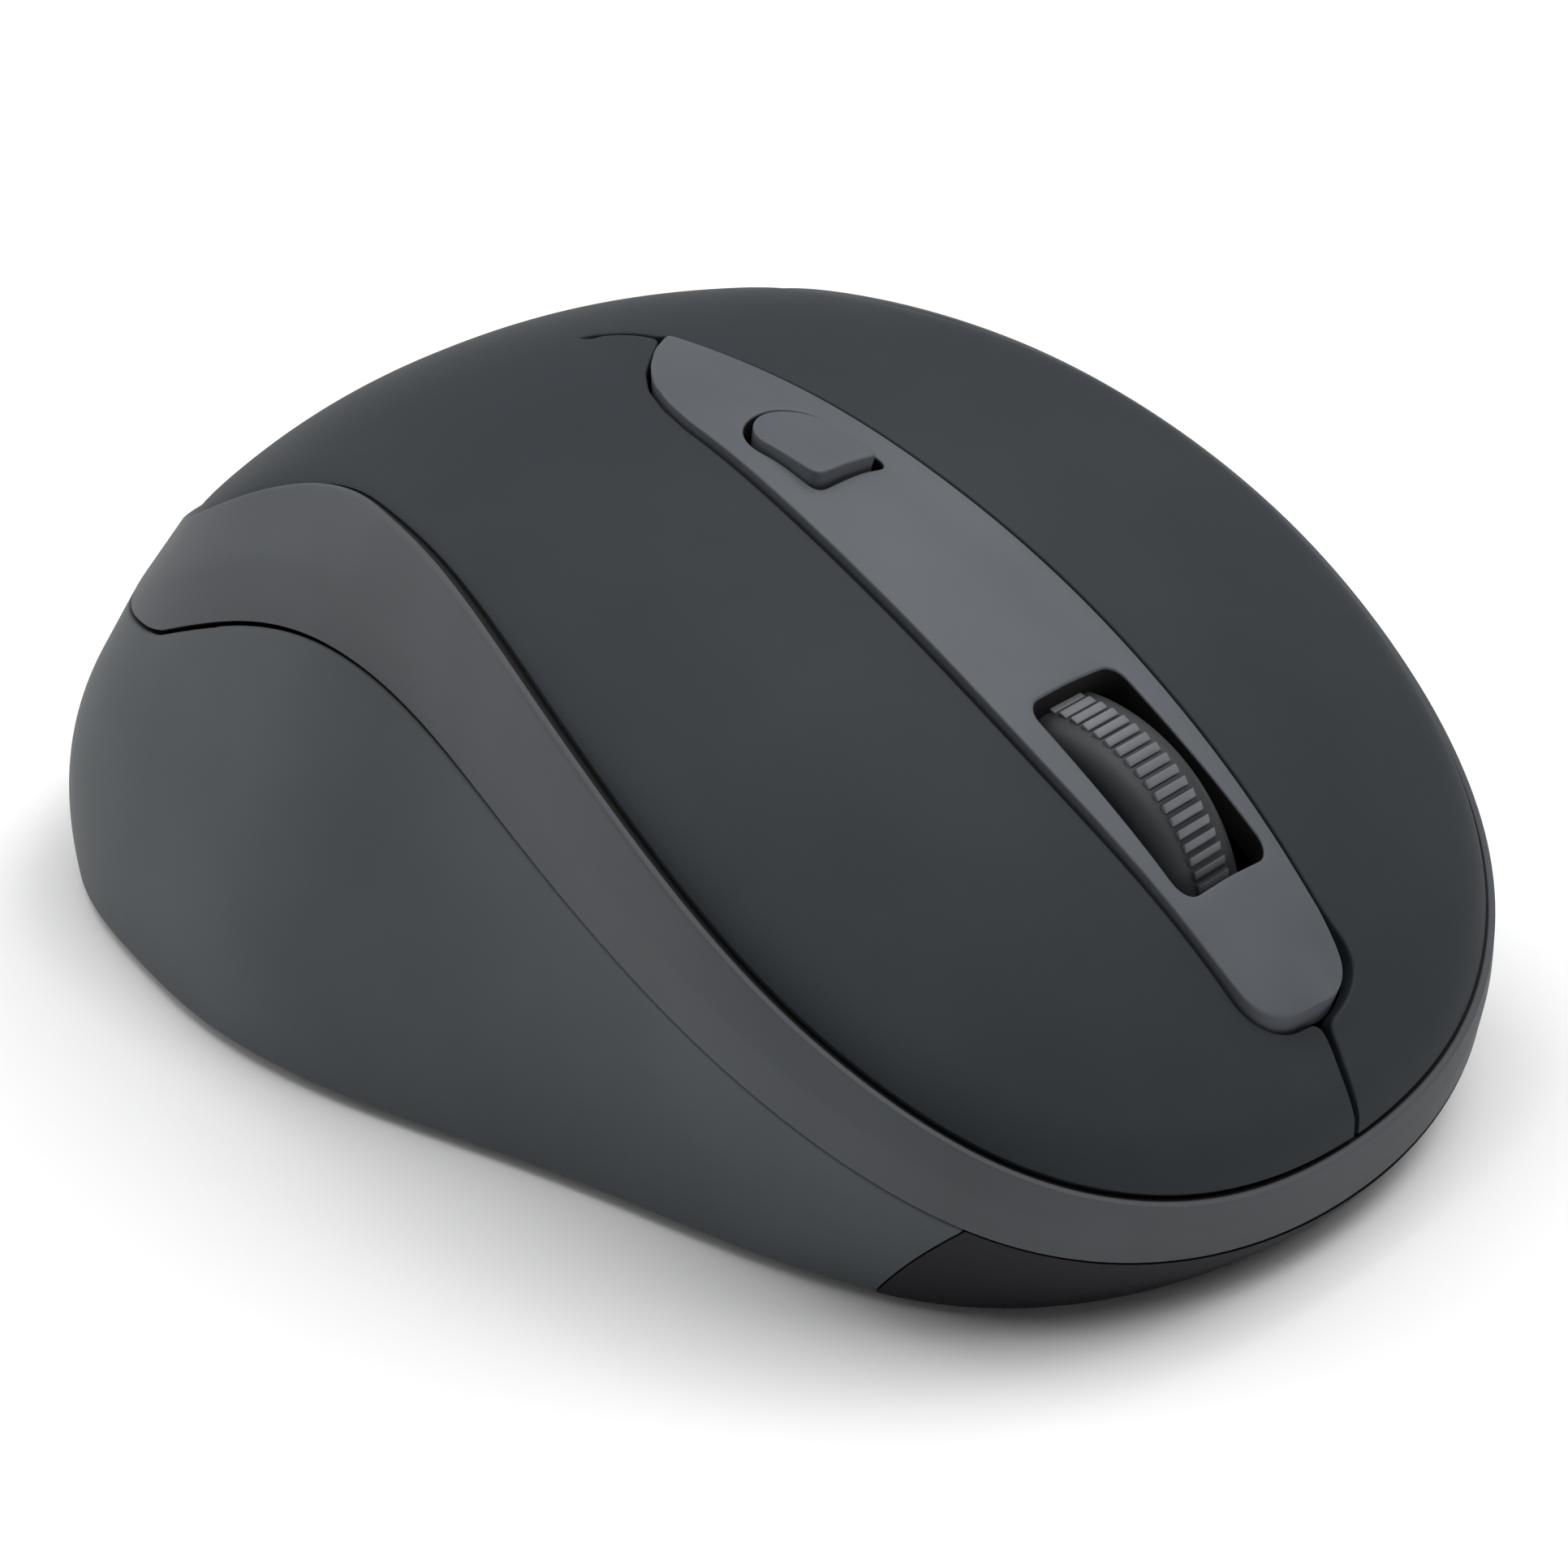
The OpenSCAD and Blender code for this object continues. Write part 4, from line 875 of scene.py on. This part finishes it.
def build_seam_shade():
    """A near-black ledge under the seam between the cover and the sides, painting the shade in the gap."""
    u = np.linspace(0, 2*LAST_SPOKE, 321)[:-1]
    p = cover_rim(u)
    n = rim_normal(u)
    reach = np.array([-0.2, -1.0, -2.4])
    surface = p[:, None, :] + n[:, None, :]*reach[None, :, None] - np.array([0, 0, SHADE_SHEET_DEPTH])
    up = np.broadcast_to(np.array([0.0, 0, 1]), surface.shape)
    return slab("painted_seam_shade", surface, up, np.zeros(surface.shape[:2]), SHADE_SHEET_WALL, ring=True)


seam_shade_sheet = build_seam_shade()
seam_shade_sheet.data.materials.append(PAINTED_GAP_SHADE)
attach(seam_shade_sheet, "housing")

# ---------- CAD nodes that stay ----------

DARK_NODES = ["scroll_cradle"]
for part in frame["record"]["subparts"]:
    node = frame["nodes"][part["node"]]
    material = FINISH["inner_black" if part["node"] in DARK_NODES else part["material_slot"]]
    for slot in node.material_slots:
        slot.link = "OBJECT"
        slot.material = material

# ---------- Floor, light and camera ----------

FLAT_R = 1.4            # the flat part of the floor, in metres
BOWL_R = 3.4
GLOW_LEVELS = [(0.25, 0.0), (0.9, 0.65), (2.3, 0.65), (3.0, 0.1)]    # its glow at distances from the object
CAMERA_AZIMUTH = math.radians(-46.34)
CAMERA_ELEVATION = math.radians(29.48)
CAMERA_DISTANCE = 0.2602
CAMERA_LENS = 86.5


def build_floor():
    """A pale paper bowl: flat round the object, rising far away on every side, where it glows softly."""
    radii = np.concatenate([np.linspace(0, FLAT_R, 15)[1:], np.linspace(FLAT_R, BOWL_R, 25)[1:]])
    angles = np.radians(np.arange(0, 360, 5))
    height = 0.05*np.clip(radii - FLAT_R, 0, 2)**2 + 1.3*np.clip((radii - 2.6)/0.8, 0, 1)**3
    points = [[0, 0, 0]] + [[r*math.cos(a), r*math.sin(a), z] for r, z in zip(radii, height) for a in angles]
    n = len(angles)
    faces = [[0, 1 + j, 1 + (j + 1) % n] for j in range(n)]
    for i in range(len(radii) - 1):
        first = 1 + i*n
        faces += [[first + j, first + n + j, first + n + (j + 1) % n, first + (j + 1) % n] for j in range(n)]
    mesh = bpy.data.meshes.new("floor")
    mesh.from_pydata(points, [], faces)
    mesh.shade_smooth()
    floor = bpy.data.objects.new("floor", mesh)
    bpy.context.scene.collection.objects.link(floor)
    material = bpy.data.materials.new("floor_paper")
    material.use_nodes = True
    nodes, links = material.node_tree.nodes, material.node_tree.links
    shader = nodes["Principled BSDF"]
    shader.inputs["Roughness"].default_value = 0.9
    shader.inputs["Specular IOR Level"].default_value = 0.1
    shader.inputs["Emission Color"].default_value = (1, 1, 1, 1)
    noise = nodes.new("ShaderNodeTexNoise")
    noise.inputs["Scale"].default_value = 60
    ramp = nodes.new("ShaderNodeValToRGB")
    ramp.color_ramp.elements[0].color = (0.92, 0.92, 0.92, 1)
    ramp.color_ramp.elements[1].color = (0.94, 0.94, 0.94, 1)
    links.new(noise.outputs["Fac"], ramp.inputs["Fac"])
    links.new(ramp.outputs["Color"], shader.inputs["Base Color"])
    place = nodes.new("ShaderNodeTexCoord")
    away = nodes.new("ShaderNodeVectorMath")
    away.operation = "LENGTH"
    reach = nodes.new("ShaderNodeMapRange")
    reach.inputs["From Max"].default_value = BOWL_R
    glow = nodes.new("ShaderNodeValToRGB")
    glow.color_ramp.interpolation = "EASE"
    while len(glow.color_ramp.elements) < len(GLOW_LEVELS):
        glow.color_ramp.elements.new(0.5)
    for element, (distance, level) in zip(glow.color_ramp.elements, GLOW_LEVELS):
        element.position = distance/BOWL_R
        element.color = (level, level, level, 1)
    links.new(place.outputs["Object"], away.inputs[0])
    links.new(away.outputs["Value"], reach.inputs["Value"])
    links.new(reach.outputs["Result"], glow.inputs["Fac"])
    links.new(glow.outputs["Color"], shader.inputs["Emission Strength"])
    mesh.materials.append(material)


def toward(azimuth, elevation):
    """The direction at an azimuth from the nose and an elevation."""
    level = math.cos(elevation)
    return Vector((math.sin(azimuth)*level, -math.cos(azimuth)*level, math.sin(elevation)))


def soft_light(name, azimuth, elevation, distance, size, power):
    """A square soft box, its azimuth turning from the nose (0) towards the left side (+90)."""
    light = bpy.data.lights.new(name, "AREA")
    light.size = size
    light.energy = power
    direction = toward(math.radians(azimuth), math.radians(elevation))
    obj = bpy.data.objects.new(name, light)
    obj.location = Vector((0, 0, 0.02)) + direction*distance
    obj.rotation_euler = direction.to_track_quat("Z", "Y").to_euler()
    bpy.context.scene.collection.objects.link(obj)


def build_camera():
    back = toward(CAMERA_AZIMUTH, CAMERA_ELEVATION)
    right = Vector((math.cos(CAMERA_AZIMUTH), math.sin(CAMERA_AZIMUTH), 0))
    up = back.cross(right)
    target = Vector((0, -MID_Y*MM, 0.015))
    centre = target + right*0.00106 - up*0.00247
    camera = bpy.data.objects.new("camera", bpy.data.cameras.new("camera"))
    camera.location = target + back*CAMERA_DISTANCE
    camera.rotation_euler = (camera.location - centre).to_track_quat("Z", "Y").to_euler()
    camera.data.sensor_width = 36
    camera.data.lens = CAMERA_LENS
    camera.data.clip_start = 0.01
    camera.data.clip_end = 20
    bpy.context.scene.collection.objects.link(camera)
    bpy.context.scene.camera = camera


build_floor()
world = bpy.data.worlds.new("studio")
world.use_nodes = True
world.node_tree.nodes["Background"].inputs["Color"].default_value = (1, 1, 1, 1)
world.node_tree.nodes["Background"].inputs["Strength"].default_value = 0.01
bpy.context.scene.world = world
bpy.context.scene.view_settings.view_transform = "Standard"
soft_light("overhead", 0, 88, 1.3, 1.2, 6.4)
soft_light("rear", 180, 55, 1.2, 0.8, 5.3)
soft_light("rear_right", 210, 25, 1.2, 0.8, 4.6)
soft_light("left", 90, 55, 1.2, 0.8, 5.5)
soft_light("front_left", 45, 55, 1.2, 0.8, 4.8)
build_camera()
